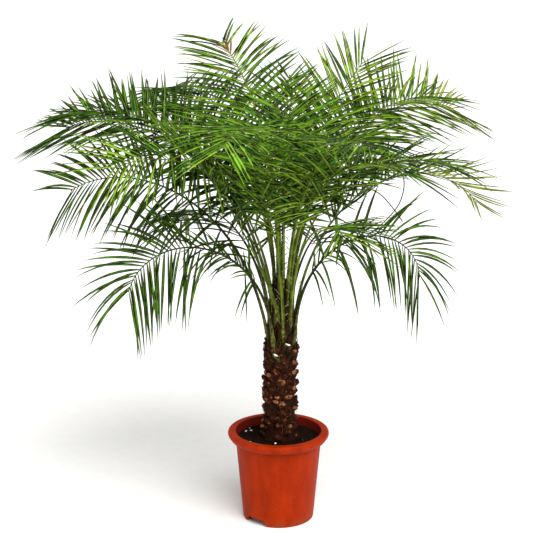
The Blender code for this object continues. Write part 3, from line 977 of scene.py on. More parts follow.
@dataclass
class Pot:
    """The round nursery pot with its rolled lip and two drainage notches.

    Attributes:
        rim: radius of the lip.
        neck, foot: outside radius of the wall under the lip and at the ground.
        lip_depth: height of the lip.
        lip_slant: how far the lip draws in towards its foot.
        lip_hem: how far its outer edge hangs below its inner one.
        lip_belly: how far below the rim it is widest.
        lip_draw: how far it draws in to the rim.
        disc: radius of the middle of the floor, which touches the ground.
        channel: height of the drain channel under the floor.
        channel_draft: slope of the channel's walls.
        ring: width of the ring that touches the ground.
        notch_height, notch_bottom, notch_top, notch_reach: size of a drainage notch.
        notch_azimuths: where the notches are.
        segments: faces round it.
        smooth: edges sharper than this many degrees stay sharp.
    """

    rim: float = 0.130
    neck: float = 0.1095
    foot: float = 0.0905
    lip_depth: float = 0.021
    lip_slant: float = 0.0085
    lip_hem: float = 0.0006
    lip_belly: float = 0.009
    lip_draw: float = 0.0025
    disc: float = 0.058
    channel: float = 0.014
    channel_draft: float = 0.003
    ring: float = 0.003
    notch_height: float = 0.0165
    notch_bottom: float = 0.068
    notch_top: float = 0.044
    notch_reach: float = 0.012
    notch_azimuths: tuple[float, ...] = (229, 49)
    segments: int = 144
    smooth: float = 40

    def wall(self, height: float) -> float:
        """Outside radius of the tapering wall at a height."""
        return self.foot + (self.neck - self.foot) * height / (POT_HEIGHT - self.lip_depth)

    def outline(self) -> list[tuple[float, float]]:
        """Draws the section of the wall, lip and floor with its rounded corners.

        Returns:
            Pairs of radius and height, from the middle below to the middle above.
        """
        floor = self.channel + POT_WALL
        lip_foot = POT_HEIGHT - self.lip_depth
        roof = POT_HEIGHT - POT_WALL
        skirt = self.rim - POT_WALL
        ring = self.foot - self.ring
        bank = self.disc + self.channel_draft
        return rounded([
            (0, 0, 0), (self.disc, 0, 0.001), (bank, self.channel, 0.002),
            (ring - self.channel_draft, self.channel, 0.002), (ring, 0, 0.0008),
            (self.foot, 0, 0.0012), (self.wall(roof), roof, 0.004), (skirt, roof, 0.004),
            (skirt - self.lip_slant, lip_foot, 0.0008),
            (self.rim - self.lip_slant, lip_foot - self.lip_hem, 0.001),
            (self.rim, POT_HEIGHT - self.lip_belly, 0.005), (self.rim - self.lip_draw, POT_HEIGHT, 0.005),
            (self.wall(POT_HEIGHT) - POT_WALL, POT_HEIGHT, 0.002),
            (self.wall(floor) - POT_WALL, floor, 0.003), (bank - POT_WALL, floor, 0.002),
            (self.disc - POT_WALL, POT_WALL, 0.001), (0, POT_WALL, 0)])

    def notch(self, azimuth: float) -> Object:
        """A wedge, wider at the ground, that opens the foot ring into the drain channel.

        Args:
            azimuth: where it is.

        Returns:
            The cutter.
        """
        out = heading(azimuth)
        side = out.cross(UP)
        taper = (self.notch_bottom - self.notch_top) / self.notch_height
        rings = []
        for height in (-self.notch_reach, self.notch_height):
            half = (self.notch_top + taper * (self.notch_height - height)) / 2
            rings.append([out * (self.foot + reach * self.notch_reach) + side * hand * half + UP * height
                          for reach, hand in ((-1, -1), (1, -1), (1, 1), (-1, 1))])
        return new_object("notch", *loft(rings))

    def build(self) -> None:
        """Builds the pot, cuts its notches and puts it in place of its solid."""
        pot = new_object("pot_moulding", *lathe(self.outline(), self.segments), POT_PLASTIC.build())
        for azimuth in self.notch_azimuths:
            cutter = self.notch(azimuth)
            cut = pot.modifiers.new("notch", "BOOLEAN")
            cut.operation = "DIFFERENCE"
            cut.object = cutter
            depsgraph = bpy.context.evaluated_depsgraph_get()
            cut_mesh = bpy.data.meshes.new_from_object(pot.evaluated_get(depsgraph))
            pot.modifiers.remove(cut)
            pot.data = cut_mesh
            bpy.data.objects.remove(cutter)
        pot.data.shade_smooth()
        pot.data.set_sharp_from_angle(angle=math.radians(self.smooth))
        place_piece(pot, ["pot"])


@dataclass(frozen=True)
class Loose:
    """Loose pieces that lie scattered on the compost.

    Attributes:
        count: how many.
        area: the shares of the surface, from its middle, that they lie between.
        size: their smallest and largest half width.
    """

    count: int
    area: tuple[float, float]
    size: tuple[float, float]


@dataclass
class Compost:
    """The compost in the pot, with crumbs and white perlite grains on its surface.

    Attributes:
        radius: of its surface.
        foot: radius of its underside.
        floor: height of its underside.
        recess, recess_floor, recess_draft: radius, height and slope of the part in the pot's disc.
        settled: how far the middle of its relief lies below the surface of the solid.
        relief: width, layer of the noise, and height of the coarse and the fine relief.
        crumbs: the loose crumbs on it.
        grains: the perlite grains.
        white_spots: azimuth and distance from the middle of the grains that show in front.
        spot_size: their smallest and largest half width.
        proud: how far the middle of a loose piece is above the surface, as a share of its half width.
        rings, segments: faces of its surface, from the rim to the middle and round it.
    """

    radius: float = 0.1078
    foot: float = 0.0885
    floor: float = 0.0168
    recess: float = 0.0546
    recess_floor: float = 0.0025
    recess_draft: float = 0.003
    settled: float = 0.0012
    relief: tuple[tuple[float, float, float], ...] = ((0.018, 0.0, 0.0022), (0.005, 0.3, 0.0009))
    crumbs: Loose = Loose(1300, (0.14, 0.93), (0.0008, 0.0028))
    grains: Loose = Loose(18, (0.2, 0.9), (0.0008, 0.0018))
    white_spots: tuple[tuple[float, float], ...] = (
        (151, 0.096), (147, 0.084), (260, 0.046), (345, 0.088))
    spot_size: tuple[float, float] = (0.0026, 0.0036)
    proud: float = 0.3
    rings: int = 26
    segments: int = 96

    def height(self, place: Vector) -> float:
        """Finds the height of the crumbly surface.

        Args:
            place: where, by its X and Y.

        Returns:
            The height there.
        """
        return SOIL_TOP - self.settled + sum(
            rise * noise.noise(Vector((place.x, place.y, layer)) / width)
            for width, layer, rise in self.relief)

    def build(self, lumps: Growth) -> None:
        """Builds the fill, the crumbs and the perlite.

        Args:
            lumps: the growth for the loose pieces.
        """
        outline = [(0, self.recess_floor), (self.recess, self.recess_floor),
                   (self.recess + self.recess_draft, self.floor), (self.foot, self.floor)]
        outline += [(self.radius * (1 - step / self.rings), SOIL_TOP) for step in range(self.rings + 1)]
        points, faces = lathe(outline, self.segments)
        surface = SOIL_TOP - MILLIMETRE / 2
        points = [Vector((p.x, p.y, self.height(p))) if p.z > surface else p for p in points]
        fill = new_object("compost_fill", points, faces, COMPOST.build(), smooth=50)
        place_piece(fill, ["soil"])
        rng = random.Random(5)
        crumbs, grains = Points(), Points()
        self.strew(crumbs, rng, self.crumbs)
        for azimuth, reach in self.white_spots:
            self.scatter(grains, rng, azimuth, reach, rng.uniform(*self.spot_size))
        self.strew(grains, rng, self.grains)
        pebble = self.pebble()
        for name, host, finish in (("compost_crumbs", crumbs, COMPOST),
                                   ("perlite_grains", grains, PERLITE)):
            values = {"Shape": pebble, "Relief": 0.0012, "Grain": 0.003, "Seed": 3,
                      "Material": finish.build()}
            lumps.grow(name, host, values, ["soil"], smooth=True)
        bpy.data.objects.remove(pebble)

    def strew(self, points: Points, rng: random.Random, loose: Loose) -> None:
        """Scatters loose pieces of one kind.

        Args:
            points: where they are added.
            rng: the source of their places, turns and sizes.
            loose: the kind.
        """
        for _ in range(loose.count):
            azimuth = rng.uniform(0, 360)
            reach = self.radius * math.sqrt(rng.uniform(*loose.area))
            self.scatter(points, rng, azimuth, reach, rng.uniform(*loose.size))

    def scatter(self, points: Points, rng: random.Random, azimuth: float, reach: float,
                size: float) -> None:
        """Lays one loose piece on the surface.

        Args:
            points: where it is added.
            rng: the source of its turn and shape.
            azimuth: where it lies.
            reach: its distance from the middle of the pot.
            size: its half width.
        """
        place = heading(azimuth) * reach
        place.z = self.height(place) + size * self.proud
        facing = heading(rng.uniform(0, 360)) + UP * rng.uniform(-0.4, 0.4)
        shape = (size * rng.uniform(0.9, 1.5), size, size * rng.uniform(0.6, 0.9))
        points.add(place, facing.normalized(), UP, shape)

    @staticmethod
    def pebble() -> Object:
        """Makes a rounded lump of 20 faces.

        Returns:
            The lump, with a radius of 1.
        """
        shape = bmesh.new()
        bmesh.ops.create_icosphere(shape, subdivisions=1, radius=1.0)
        mesh = bpy.data.meshes.new("pebble")
        shape.to_mesh(mesh)
        shape.free()
        return in_scene("pebble", mesh)


# Trunk

# Blocks of unit size, by the place along them, the half width and the half thickness of each section:
# an old leaf base that narrows to its cut end, the cut face on it, and the clasping foot of a stalk
BASE_BLOCK = ((-0.5, 1.2, 1.2), (0.1, 1.12, 1.15), (0.5, 1.02, 1.05), (0.85, 0.92, 0.95),
              (1.0, 0.78, 0.78))
CUT_BLOCK = ((0.96, 0.58, 0.58), (1.02, 0.68, 0.68), (1.06, 0.52, 0.50))
CLASP_BLOCK = ((0.0, 0.80, 0.5), (0.3, 1.0, 0.8), (0.6, 0.86, 1.0), (0.85, 0.62, 1.1), (1.0, 0.46, 0.9))


def trunk_axis(height: float) -> Vector:
    """The middle of the leaning trunk at a height."""
    share = (height - TRUNK_FOOT.z) / (TRUNK_TIP.z - TRUNK_FOOT.z)
    return TRUNK_FOOT.lerp(TRUNK_TIP, share)


@dataclass(frozen=True)
class Stump:
    """The stump of a cut stalk.

    Attributes:
        azimuth: the side of the trunk that it is on.
        height: of its foot.
        length: that shows, with the part sunk in the sheath.
        width: across it.
        fresh: whether it was cut lately.
        tilt: how far its right end is lower than its left one, in degrees.
    """

    azimuth: float
    height: float
    length: float
    width: float
    fresh: bool = False
    tilt: float = 0.0


@dataclass
class Trunk:
    """The trunk: a fibrous core clad in old leaf bases, with cut stumps under the crown.

    Attributes:
        radius: of the core.
        flare, flare_height: how far it widens at the foot, and up to how high.
        sheath: height and radius of the core under the crown.
        core_step, core_segments: height of the core's faces, and how many go round it.
        strands: width, length and layer of the noise in the core's relief.
        relief: height of that relief.
        bases_top: height at which the old leaf bases end.
        bases: number of old leaf bases.
        base_size: length, half width and half thickness of a leaf base.
        base_rise: pitch of a leaf base, in degrees.
        base_sunk: how deep its foot lies in the core.
        smooth_foot: height below which every other leaf base has worn off.
        cut_share: share of the leaf bases with a pale cut end.
        scars: azimuth, height, width and thickness of the largest worn ends, as shares of a base's.
        scar_rise, scar_length: their pitch in degrees, and their length as a share of a base's.
        stumps: the cut stalks.
        stump_rise, stump_thickness, stump_sunk: a stump's pitch, half thickness and depth in the core.
        fibres: number of loose fibres.
        fibre_zones: heights that each half of them starts between.
        fibre_length, fibre_width, fibre_thickness: their length and half width, from and to, and half
            thickness.
        fibre_off: how far they start off the core.
        flaps: number of torn pieces of sheath under the crown.
        flap_zones: heights, and distances off the core, that each third of them starts between.
        flap_length, flap_width, flap_thickness: the same sizes of these pieces.
    """

    radius: float = 0.0362
    flare: float = 0.0055
    flare_height: float = 0.034
    sheath: tuple[tuple[float, float], ...] = (
        (0.452, 0.0350), (0.462, 0.0338), (0.500, 0.0298), (0.530, 0.0262), (0.560, 0.0215),
        (0.590, 0.0165), (0.620, 0.0108), (0.640, 0.0056))
    core_step: float = 0.004
    core_segments: int = 56
    strands: tuple[tuple[float, float, float], ...] = ((0.0055, 0.05, 0), (0.014, 0.014, 7))
    relief: float = 0.0022
    bases_top: float = 0.452
    bases: int = 112
    base_size: tuple[float, float, float] = (0.0168, 0.0116, 0.0072)
    base_rise: float = 40.0
    base_sunk: float = 0.0055
    smooth_foot: float = 0.236
    cut_share: float = 0.17
    scars: tuple[tuple[float, float, float, float], ...] = (
        (-86, 0.372, 1.35, 2.0), (-60, 0.330, 1.4, 1.3), (-84, 0.312, 1.1, 1.5), (-38, 0.392, 1.1, 1.4),
        (-36, 0.350, 1.0, 1.3), (196, 0.334, 1.1, 1.4), (226, 0.386, 1.0, 1.2), (-100, 0.330, 0.8, 0.9))
    scar_rise: float = 16.0
    scar_length: float = 0.8
    stumps: tuple[Stump, ...] = (
        Stump(-66, 0.454, 0.020, 0.021, fresh=True, tilt=32),
        Stump(253, 0.427, 0.021, 0.022, fresh=True, tilt=24),
        Stump(186, 0.463, 0.018, 0.011), Stump(198, 0.436, 0.021, 0.013), Stump(-14, 0.440, 0.023, 0.013),
        Stump(-22, 0.402, 0.018, 0.016), Stump(20, 0.461, 0.018, 0.011), Stump(172, 0.392, 0.018, 0.016),
        Stump(92, 0.448, 0.020, 0.016), Stump(118, 0.410, 0.020, 0.016), Stump(62, 0.418, 0.020, 0.014),
        Stump(150, 0.452, 0.018, 0.013))
    stump_rise: float = 58.0
    stump_thickness: float = 0.0044
    stump_sunk: float = 0.003
    fibres: int = 1100
    fibre_zones: tuple[tuple[float, float], ...] = ((0.225, 0.430), (0.400, 0.590))
    fibre_length: tuple[float, float] = (0.012, 0.042)
    fibre_width: tuple[float, float] = (0.0004, 0.0009)
    fibre_thickness: float = 0.0005
    fibre_off: float = 0.0002
    flaps: int = 390
    flap_zones: tuple[tuple[float, float, float, float], ...] = (
        (0.530, 0.605, 0.003, 0.011), (0.405, 0.560, 0.0, 0.0075), (0.405, 0.560, 0.0, 0.0075))
    flap_length: tuple[float, float] = (0.016, 0.038)
    flap_width: tuple[float, float] = (0.0025, 0.0060)
    flap_thickness: float = 0.0010

    def core_radius(self, height: float) -> float:
        """Finds the radius of the core without its relief.

        Args:
            height: where.

        Returns:
            The radius there.
        """
        if height > self.bases_top:
            return between(self.sheath, height)
        return self.radius + self.flare * max(0.0, 1 - (height - TRUNK_FOOT.z) / self.flare_height)

    def spot(self, out: Vector, height: float, off: float) -> Vector:
        """The place at a height on one side of the core, some way off its surface."""
        return trunk_axis(height) + out * (self.core_radius(height) + off)

    def core(self) -> Object:
        """Makes the fibrous core, with a relief of strands that run up it.

        Returns:
            The core.
        """
        rise = self.sheath[-1][0] - TRUNK_FOOT.z
        steps = round(rise / self.core_step)
        rings = []
        for level in range(steps + 1):
            height = TRUNK_FOOT.z + rise * level / steps
            radius = self.core_radius(height)
            ring = []
            for step in range(self.core_segments):
                out = heading(360 * step / self.core_segments)
                side = out * radius
                rough = sum(noise.noise(Vector((side.x / width, side.y / width, height / length + layer)))
                            for width, length, layer in self.strands)
                relief = self.relief * rough * min(1.0, radius / self.radius)
                ring.append(self.spot(out, height, relief if level else 0.0))
            rings.append(ring)
        return new_object("trunk_core", *loft([*rings, [TRUNK_TIP]]), FIBRE_MAT.build(), smooth=60)

    def base_points(self) -> tuple[Points, Points]:
        """Places the old leaf bases in a spiral up the trunk, and the worn scars.

        Returns:
            The points of all the bases, and those of the ones with a pale cut end.
        """
        rng = random.Random(21)
        every, pale = Points(), Points()
        for number in range(self.bases):
            share = (number + 0.5) / self.bases
            height = TRUNK_FOOT.z + (self.bases_top - TRUNK_FOOT.z) * share + rng.uniform(-0.004, 0.004)
            out = heading(GOLDEN_ANGLE * number + rng.uniform(-9, 9))
            facing, upper = rising(out, self.base_rise + rng.uniform(-15, 15))
            size = [part * rng.uniform(0.78, 1.18) for part in self.base_size]
            upper += out.cross(UP) * rng.uniform(-0.35, 0.35)
            cut = rng.random() < self.cut_share
            if height < self.smooth_foot and number % 2:
                continue
            for points in (every, pale) if cut else (every,):
                points.add(self.spot(out, height, -self.base_sunk), facing, upper, size)
        length, half_width, half_thickness = self.base_size
        for azimuth, height, wide, thick in self.scars:
            out = heading(azimuth)
            size = (length * self.scar_length, half_width * wide, half_thickness * thick)
            for points in (every, pale):
                points.add(self.spot(out, height, -self.base_sunk), *rising(out, self.scar_rise), size)
        return every, pale

    def stump_points(self, fresh: bool) -> Points:
        """Places the cut stumps.

        Args:
            fresh: whether the fresh ones are wanted or the old ones.

        Returns:
            Their points.
        """
        points = Points()
        for stump in self.stumps:
            if stump.fresh == fresh:
                out = heading(stump.azimuth)
                facing, upper = rising(out, self.stump_rise)
                upper = Quaternion(facing, -math.radians(stump.tilt)) @ upper
                points.add(self.spot(out, stump.height, -self.stump_sunk), facing, upper,
                           (stump.length, stump.width / 2, self.stump_thickness))
        return points

    def fibre_points(self) -> Points:
        """Places the loose fibres, half of them on the sheath under the crown.

        Returns:
            Their points.
        """
        rng = random.Random(33)
        points = Points()
        for number in range(self.fibres):
            height = rng.uniform(*self.fibre_zones[number % 2])
            out = heading(rng.uniform(0, 360))
            side = out.cross(UP)
            facing = (UP + side * rng.uniform(-0.7, 0.7) + out * rng.uniform(0.0, 0.35)).normalized()
            length = rng.uniform(*self.fibre_length)
            bend = (out * rng.uniform(-0.1, 0.25) + side * rng.uniform(-0.3, 0.3)) * length
            size = (length, rng.uniform(*self.fibre_width), self.fibre_thickness)
            points.add(self.spot(out, height, self.fibre_off), facing, out, size, bend)
        return points

    def flap_points(self) -> Points:
        """Places the torn pieces of sheath that cling round the feet of the stalks.

        Returns:
            Their points.
        """
        rng = random.Random(41)
        points = Points()
        for number in range(self.flaps):
            low, high, near, far = self.flap_zones[number % 3]
            height = rng.uniform(low, high)
            out = heading(rng.uniform(0, 360))
            side = out.cross(UP)
            facing = (UP + side * rng.uniform(-0.35, 0.35) + out * rng.uniform(-0.12, 0.10)).normalized()
            length = rng.uniform(*self.flap_length)
            place = self.spot(out, height, rng.uniform(near, far))
            size = (length, rng.uniform(*self.flap_width), self.flap_thickness)
            bend = (out * rng.uniform(-0.1, 0.15) + side * rng.uniform(-0.2, 0.2)) * length
            points.add(place, facing, out, size, bend)
        return points

    def build(self, lumps: Growth, blades: Growth) -> None:
        """Builds the core, its cladding and its fibres, in place of the trunk's solid.

        Args:
            lumps: the growth for leaf bases and cut ends.
            blades: the growth for fibres.
        """
        place_piece(self.core(), ["trunk"])
        base, cut = block("leaf_base_shape", BASE_BLOCK), block("cut_shape", CUT_BLOCK)
        every, pale = self.base_points()
        old, fresh = self.stump_points(False), self.stump_points(True)
        for name, shape, host, finish, relief in (
                ("leaf_bases", base, every, LEAF_BASE, 0.0070),
                ("leaf_base_cuts", cut, pale, DRY_CUT, 0.0070),
                ("old_stumps", base, old, LEAF_BASE, 0.0014), ("old_stump_cuts", cut, old, DRY_CUT, 0.0006),
                ("fresh_stumps", base, fresh, STALK, 0.0008),
                ("fresh_stump_cuts", cut, fresh, FRESH_CUT, 0.0003)):
            values = {"Shape": shape, "Relief": relief, "Grain": 0.007, "Seed": 8,
                      "Material": finish.build()}
            lumps.grow(name, host, values, ["trunk"], smooth=True)
        for name, host, finish, segments, fold, thickness, seed in (
                ("sheath_fibres", self.fibre_points(), FIBRE, 3, 0.3, 0.9, 2),
                ("torn_sheaths", self.flap_points(), SHEATH_NET, 4, 0.25, 0.8, 6)):
            values = {"Segments": segments, "Fold": fold, "Thickness": thickness, "Width Variation": 0.3,
                      "Seed": seed, "Material": finish.build()}
            blades.grow(name, host, values, ["trunk"])
        for shape in (base, cut):
            bpy.data.objects.remove(shape)


# Fronds

# The rule of the solids. A rib is drawn in equal steps, and arches by a power of the share of its
# length. It starts a small gap off the trunk's surface, which is looked for from BEYOND_TRUNK outside
# the axis. It leaves square to the trunk, holds its own azimuth from FOOT_TURN and its full roll from
# ROLL_SETTLES, and its leaflets start where the bare stalk ends, all as shares of its length.
RACHIS_STEPS = 60
BEND_POWER = 1.5
BARE_STALK = 0.30
FOOT_TURN = 0.2
ROLL_SETTLES = 0.5
FOOT_GAP = 0.0005
BEYOND_TRUNK = 0.2
# Width of a stalk and rib at shares of its length
STALK_WIDTHS = ((0.0, 0.0145), (0.05, 0.0108), (0.30, 0.0072), (0.60, 0.0044), (1.0, 0.0020))
# Place of the longest leaflets, and how much shorter the first ones are
LONGEST_AT = 0.4
FIRST_SHORTER = 0.45
# Angle of the leaflets to the rib, how much of it the last ones lose, and what a rolled blade adds
SPREAD, SPREAD_CLOSES, HANG = math.radians(62), math.radians(30), math.radians(24)
# Angle of the first and of the last leaflets above the blade
LIFT_FIRST, LIFT_LAST = math.radians(18), math.radians(4)
# How far single leaflets stray in length, sag, twist and sideways bend, and how much more in angle
# near the stalk
LENGTH_VARIES, SAG_VARIES = (0.90, 1.05), (0.7, 1.4)
TWIST_VARIES, BEND_VARIES = (-0.25, 0.25), (-0.05, 0.05)
TANGLE = 3.0
# How square to its length a leaflet sags: at 1 it only bends, at 0 its tip falls straight down
SAG_SQUARE = 0.85
# What is left of the length and spread of a dried leaflet, and of one that stayed short
SHRIVELLED, STUNTED = 0.45, 0.5
# Chance that a leaflet is gone or short where a frond is sparse or stunted, and on the side that
# faces up where the blade is rolled
LOST, LOST_ABOVE = 0.45, 0.8
# The tones that stray leaflets of a frond hold, a lighter and a darker one, so that painted light and
# painted shade lie mixed between leaflets
NEAR_TONES = {
    Tone.OLD: (Tone.MATURE, Tone.OLD), Tone.MATURE: (Tone.SUNLIT, Tone.OLD),
    Tone.SUNLIT: (Tone.MATURE, Tone.OLD), Tone.FRESH: (Tone.SUNLIT, Tone.MATURE)}
# Width of a leaflet at places along it, both as shares
LEAF_PROFILE = ((0.0, 0.40), (0.06, 0.62), (0.2, 0.92), (0.4, 1.0), (0.65, 0.80), (0.85, 0.42),
                (0.97, 0.10), (1.0, 0.02))


@dataclass(frozen=True)
class Frond:
    """One frond, placed and curved by the rule that its solid follows.

    Attributes:
        name: the part of its solid's name after "frond_".
        azimuth: direction that it leaves the trunk in.
        base: height of its foot.
        rise: pitch of the rib at its foot.
        arch: how far the pitch falls by the tip.
        length: of the rib.
        tone: the colour of its leaflets.
        sweep: how far the heading turns by the tip.
        roll: turn of the blade about its rib.
        sag: fall of a leaflet's tip, as a share of its length.
        foot: side of the trunk that it stands on; None is its azimuth.
        closing: how much shorter its last leaflets are, as a share.
        longest: length of its longest leaflets.
        tip_tone: colour of the leaflets between tip_from and tip_to.
        tip_from, tip_to: places that they are between, from 0 to 1.
        density: how much closer than usual its leaflets stand.
        first: place of its first leaflets, where those nearer the stalk have gone.
        sparse: place up to which many of its leaflets have gone.
        stunted: place up to which many of its leaflets stayed short, close to the rib.
    """

    name: str
    azimuth: float
    base: float
    rise: float
    arch: float
    length: float
    tone: Tone
    sweep: float = 0.0
    roll: float = 0.0
    sag: float = 0.14
    foot: float | None = None
    closing: float = 0.24
    longest: float = 0.208
    tip_tone: Tone = Tone.YELLOWING
    tip_from: float = 1.1
    tip_to: float = 1.1
    density: float = 1.0
    first: float = 0.0
    sparse: float = 0.0
    stunted: float = 0.0

    def azimuth_at(self, share: float) -> float:
        """Direction of the rib at a share of its length: square to the trunk at its foot."""
        foot = self.azimuth if self.foot is None else self.foot
        return foot + (self.azimuth - foot) * min(1, share / FOOT_TURN) + self.sweep * share

    def nodes(self) -> list[str]:
        """Names of the solids that it stands for."""
        stem = "frond_" + self.name
        return [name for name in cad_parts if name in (stem, stem + "_inner", stem + "_outer")]

    def leaflet_length(self, place: float) -> float:
        """Length of a leaflet.

        Args:
            place: from 0, the first pair, to 1, the last pair.

        Returns:
            The length.
        """
        if place < LONGEST_AT:
            shorter = FIRST_SHORTER * (1 - place / LONGEST_AT) ** 2
        else:
            shorter = self.closing * ((place - LONGEST_AT) / (1 - LONGEST_AT)) ** 2
        return self.longest * (1 - shorter)

    def tone_at(self, place: float, rng: random.Random, stray: float) -> Tone:
        """The tone of a leaflet: the frond's own, that of its tip, or now and then a near one.

        Args:
            place: from 0, the first pair, to 1, the last pair.
            rng: the source of strays.
            stray: the chance of each of the two near tones.

        Returns:
            The tone.
        """
        if self.tip_from < place < self.tip_to:
            return self.tip_tone
        chance = rng.random()
        if chance < stray:
            return NEAR_TONES[self.tone][0]
        if chance > 1 - stray:
            return NEAR_TONES[self.tone][1]
        return self.tone


# The outermost fronds come first, the youngest ones round the heart last
# Fronds towards the key light on the right mostly take the sunlit tone, painted light, and those on the
# left the darker old and mature tones, partly painted shade
FRONDS = (
    Frond("low_left", 190, 0.466, 84, 160, 0.57, Tone.OLD, sweep=-7, roll=62, sag=0.35, foot=238, closing=0,
          longest=0.180, stunted=0.45, density=1.1),
    Frond("low_right", 4, 0.485, 86, 170, 0.55, Tone.OLD, sweep=19, roll=-62, sag=0.35, foot=-12, closing=0,
          longest=0.178, stunted=0.5),
    Frond("low_back_left", 130, 0.470, 80, 124, 0.56, Tone.OLD, sag=0.25, first=0.1, sparse=0.7),
    Frond("low_back_right", 62, 0.475, 80, 126, 0.46, Tone.OLD, sag=0.25, first=0.3, sparse=1.0),
    Frond("mid_left", 180, 0.492, 77, 110, 0.73, Tone.OLD, sweep=-19, roll=55, sag=0.2, closing=0.1,
          longest=0.185, sparse=0.35),
    Frond("mid_right", 11, 0.510, 82, 134, 0.74, Tone.MATURE, sweep=11, roll=9, sag=-0.08, closing=0.5,
          tip_from=0.6, density=0.85, first=0.1),
    Frond("mid_front_left", 208, 0.540, 68, 20, 0.52, Tone.MATURE, roll=15, foot=250, first=0.3),
    Frond("mid_front_right", -66, 0.520, 84, 100, 0.47, Tone.SUNLIT, roll=10, foot=-48, first=0.42,
          sparse=0.9),
    Frond("mid_front", 244, 0.498, 87, 40, 0.40, Tone.SUNLIT, roll=10, foot=277, first=0.55),
    Frond("mid_back", 92, 0.505, 80, 112, 0.66, Tone.MATURE, sag=0.2, first=0.15),
    Frond("high_left", 183, 0.535, 81, 104, 0.82, Tone.OLD, sweep=-29, roll=27, sag=0.03, closing=0.1,
          density=1.3),
    Frond("high_right", -22, 0.545, 87, 104, 0.63, Tone.SUNLIT, sweep=16, first=0.2),
    Frond("high_side_left", 212, 0.556, 82, 100, 0.68, Tone.SUNLIT, roll=30, foot=216, density=0.85),
    Frond("high_side_right", -46, 0.578, 86, 100, 0.60, Tone.SUNLIT, roll=20, foot=-34, density=0.85,
          first=0.2),
    Frond("high_back_left", 142, 0.545, 92, 112, 0.82, Tone.MATURE, sweep=-21, roll=10, foot=138),
    Frond("high_back_right", 62, 0.545, 84, 100, 0.74, Tone.MATURE, roll=-10, density=0.7),
    Frond("high_front_left", 254, 0.560, 93, 118, 0.80, Tone.FRESH, density=0.85),
    Frond("high_front_right", -58, 0.560, 86, 90, 0.69, Tone.SUNLIT, sweep=-11, density=0.85),
    Frond("far_left", 154, 0.568, 76, 95, 0.81, Tone.MATURE, sweep=11, roll=6, sag=0.10, foot=166,
          closing=0.2, density=1.3),
    Frond("far_right", 30, 0.566, 83, 108, 0.81, Tone.SUNLIT, sweep=6, roll=-33, sag=0.03, tip_from=0.86),
    Frond("far_back_left", 140, 0.604, 84, 100, 0.70, Tone.SUNLIT, roll=10, foot=160, density=0.8),
    Frond("far_back_right", 24, 0.604, 84, 88, 0.68, Tone.SUNLIT, roll=-10, foot=4, density=0.8),
    Frond("top_left", 120, 0.588, 90, 65, 0.71, Tone.MATURE, roll=9, sag=0.16, closing=0.3,
          tip_tone=Tone.DRIED, tip_from=0.885, tip_to=0.93, density=1.3),
    Frond("top_right", 37, 0.594, 83, 41, 0.62, Tone.SUNLIT, roll=-15, sag=0.06, foot=46, closing=0.3),
    Frond("top_front", 278, 0.597, 91, 40, 0.56, Tone.FRESH, sag=0.08, closing=0.7, density=0.85),
    Frond("top_back", 84, 0.604, 88, 40, 0.55, Tone.MATURE, sag=0.08, closing=0.7, density=0.65),
)


class Rib:
    """The curve of one frond's rib, with the blade's side and upper directions along it."""

    def __init__(self, frond: Frond, trunk: BVHTree) -> None:
        """Follows the rib from the trunk's surface to its tip.

        Args:
            frond: the frond.
            trunk: search tree of the trunk's solid.
        """
        self.frond = frond
        self.out = heading(frond.azimuth_at(0))
        surface = trunk.ray_cast(trunk_axis(frond.base) + self.out * BEYOND_TRUNK, -self.out)[0]
        place = surface + self.out * FOOT_GAP
        self.points, self.tangents = [place.copy()], []
        for step in range(RACHIS_STEPS):
            share = (step + 0.5) / RACHIS_STEPS
            pitch = frond.rise - frond.arch * share ** BEND_POWER
            tangent = climbing(heading(frond.azimuth_at(share)), pitch)
            place = place + tangent * frond.length / RACHIS_STEPS
            self.tangents.append(tangent)
            self.points.append(place.copy())

    def frame(self, share: float) -> tuple[Vector, Vector, Vector, Vector]:
        """The blade at a share of its length.

        Args:
            share: from 0 at the foot to 1 at the tip.

        Returns:
            Its place, its direction, its side and its upper direction.
        """
        place = share * RACHIS_STEPS
        index = min(int(place), RACHIS_STEPS - 1)
        point = self.points[index].lerp(self.points[index + 1], place - index)
        along = self.tangents[index]
        side = heading(self.frond.azimuth_at(share)).cross(UP)
        upper = side.cross(along)
        roll = math.radians(self.frond.roll) * min(1, share / ROLL_SETTLES)
        return (point, along, side * math.cos(roll) + upper * math.sin(roll),
                upper * math.cos(roll) - side * math.sin(roll))


@dataclass(frozen=True)
class Strip:
    """A thin dried strip, split off a leaf's edge, that hangs from a rib.

    Attributes:
        frond: name of the frond that it hangs from.
        share: where along the rib it is caught.
        course: how far to the right and how far down it runs, point by point.
    """

    frond: str
    share: float
    course: tuple[tuple[float, float], ...]

    def points(self, root: Vector) -> list[Vector]:
        """Points of a smooth curve through the course.

        Args:
            root: the place on the rib.

        Returns:
            The points, four to each stretch.
        """
        stops = [root + Vector((right, 0, -down)) for right, down in ((0.0, 0.0), *self.course)]
        stops = [stops[0], *stops, stops[-1]]
        curve = []
        for before, first, last, after in zip(stops, stops[1:], stops[2:], stops[3:]):
            for step in range(4):
                share = step / 4
                bend = (2 * before - 5 * first + 4 * last - after) * share ** 2
                twist = (3 * first - before - 3 * last + after) * share ** 3
                curve.append(first + ((last - before) * share + bend + twist) / 2)
        return [*curve, stops[-1]]


STRIPS = (
    Strip("mid_right", 0.683, ((0.0025, 0.030), (-0.005, 0.065), (-0.0225, 0.095), (-0.0525, 0.1275),
                               (-0.0825, 0.1525))),
    Strip("mid_right", 0.550, ((0.030, 0.015), (0.060, 0.0475), (0.0875, 0.085))),
)


def solids(ribs: Iterable[Rib]) -> list[str]:
    """Names of the solids of some fronds, by their ribs."""
    return [node for rib in ribs for node in rib.frond.nodes()]


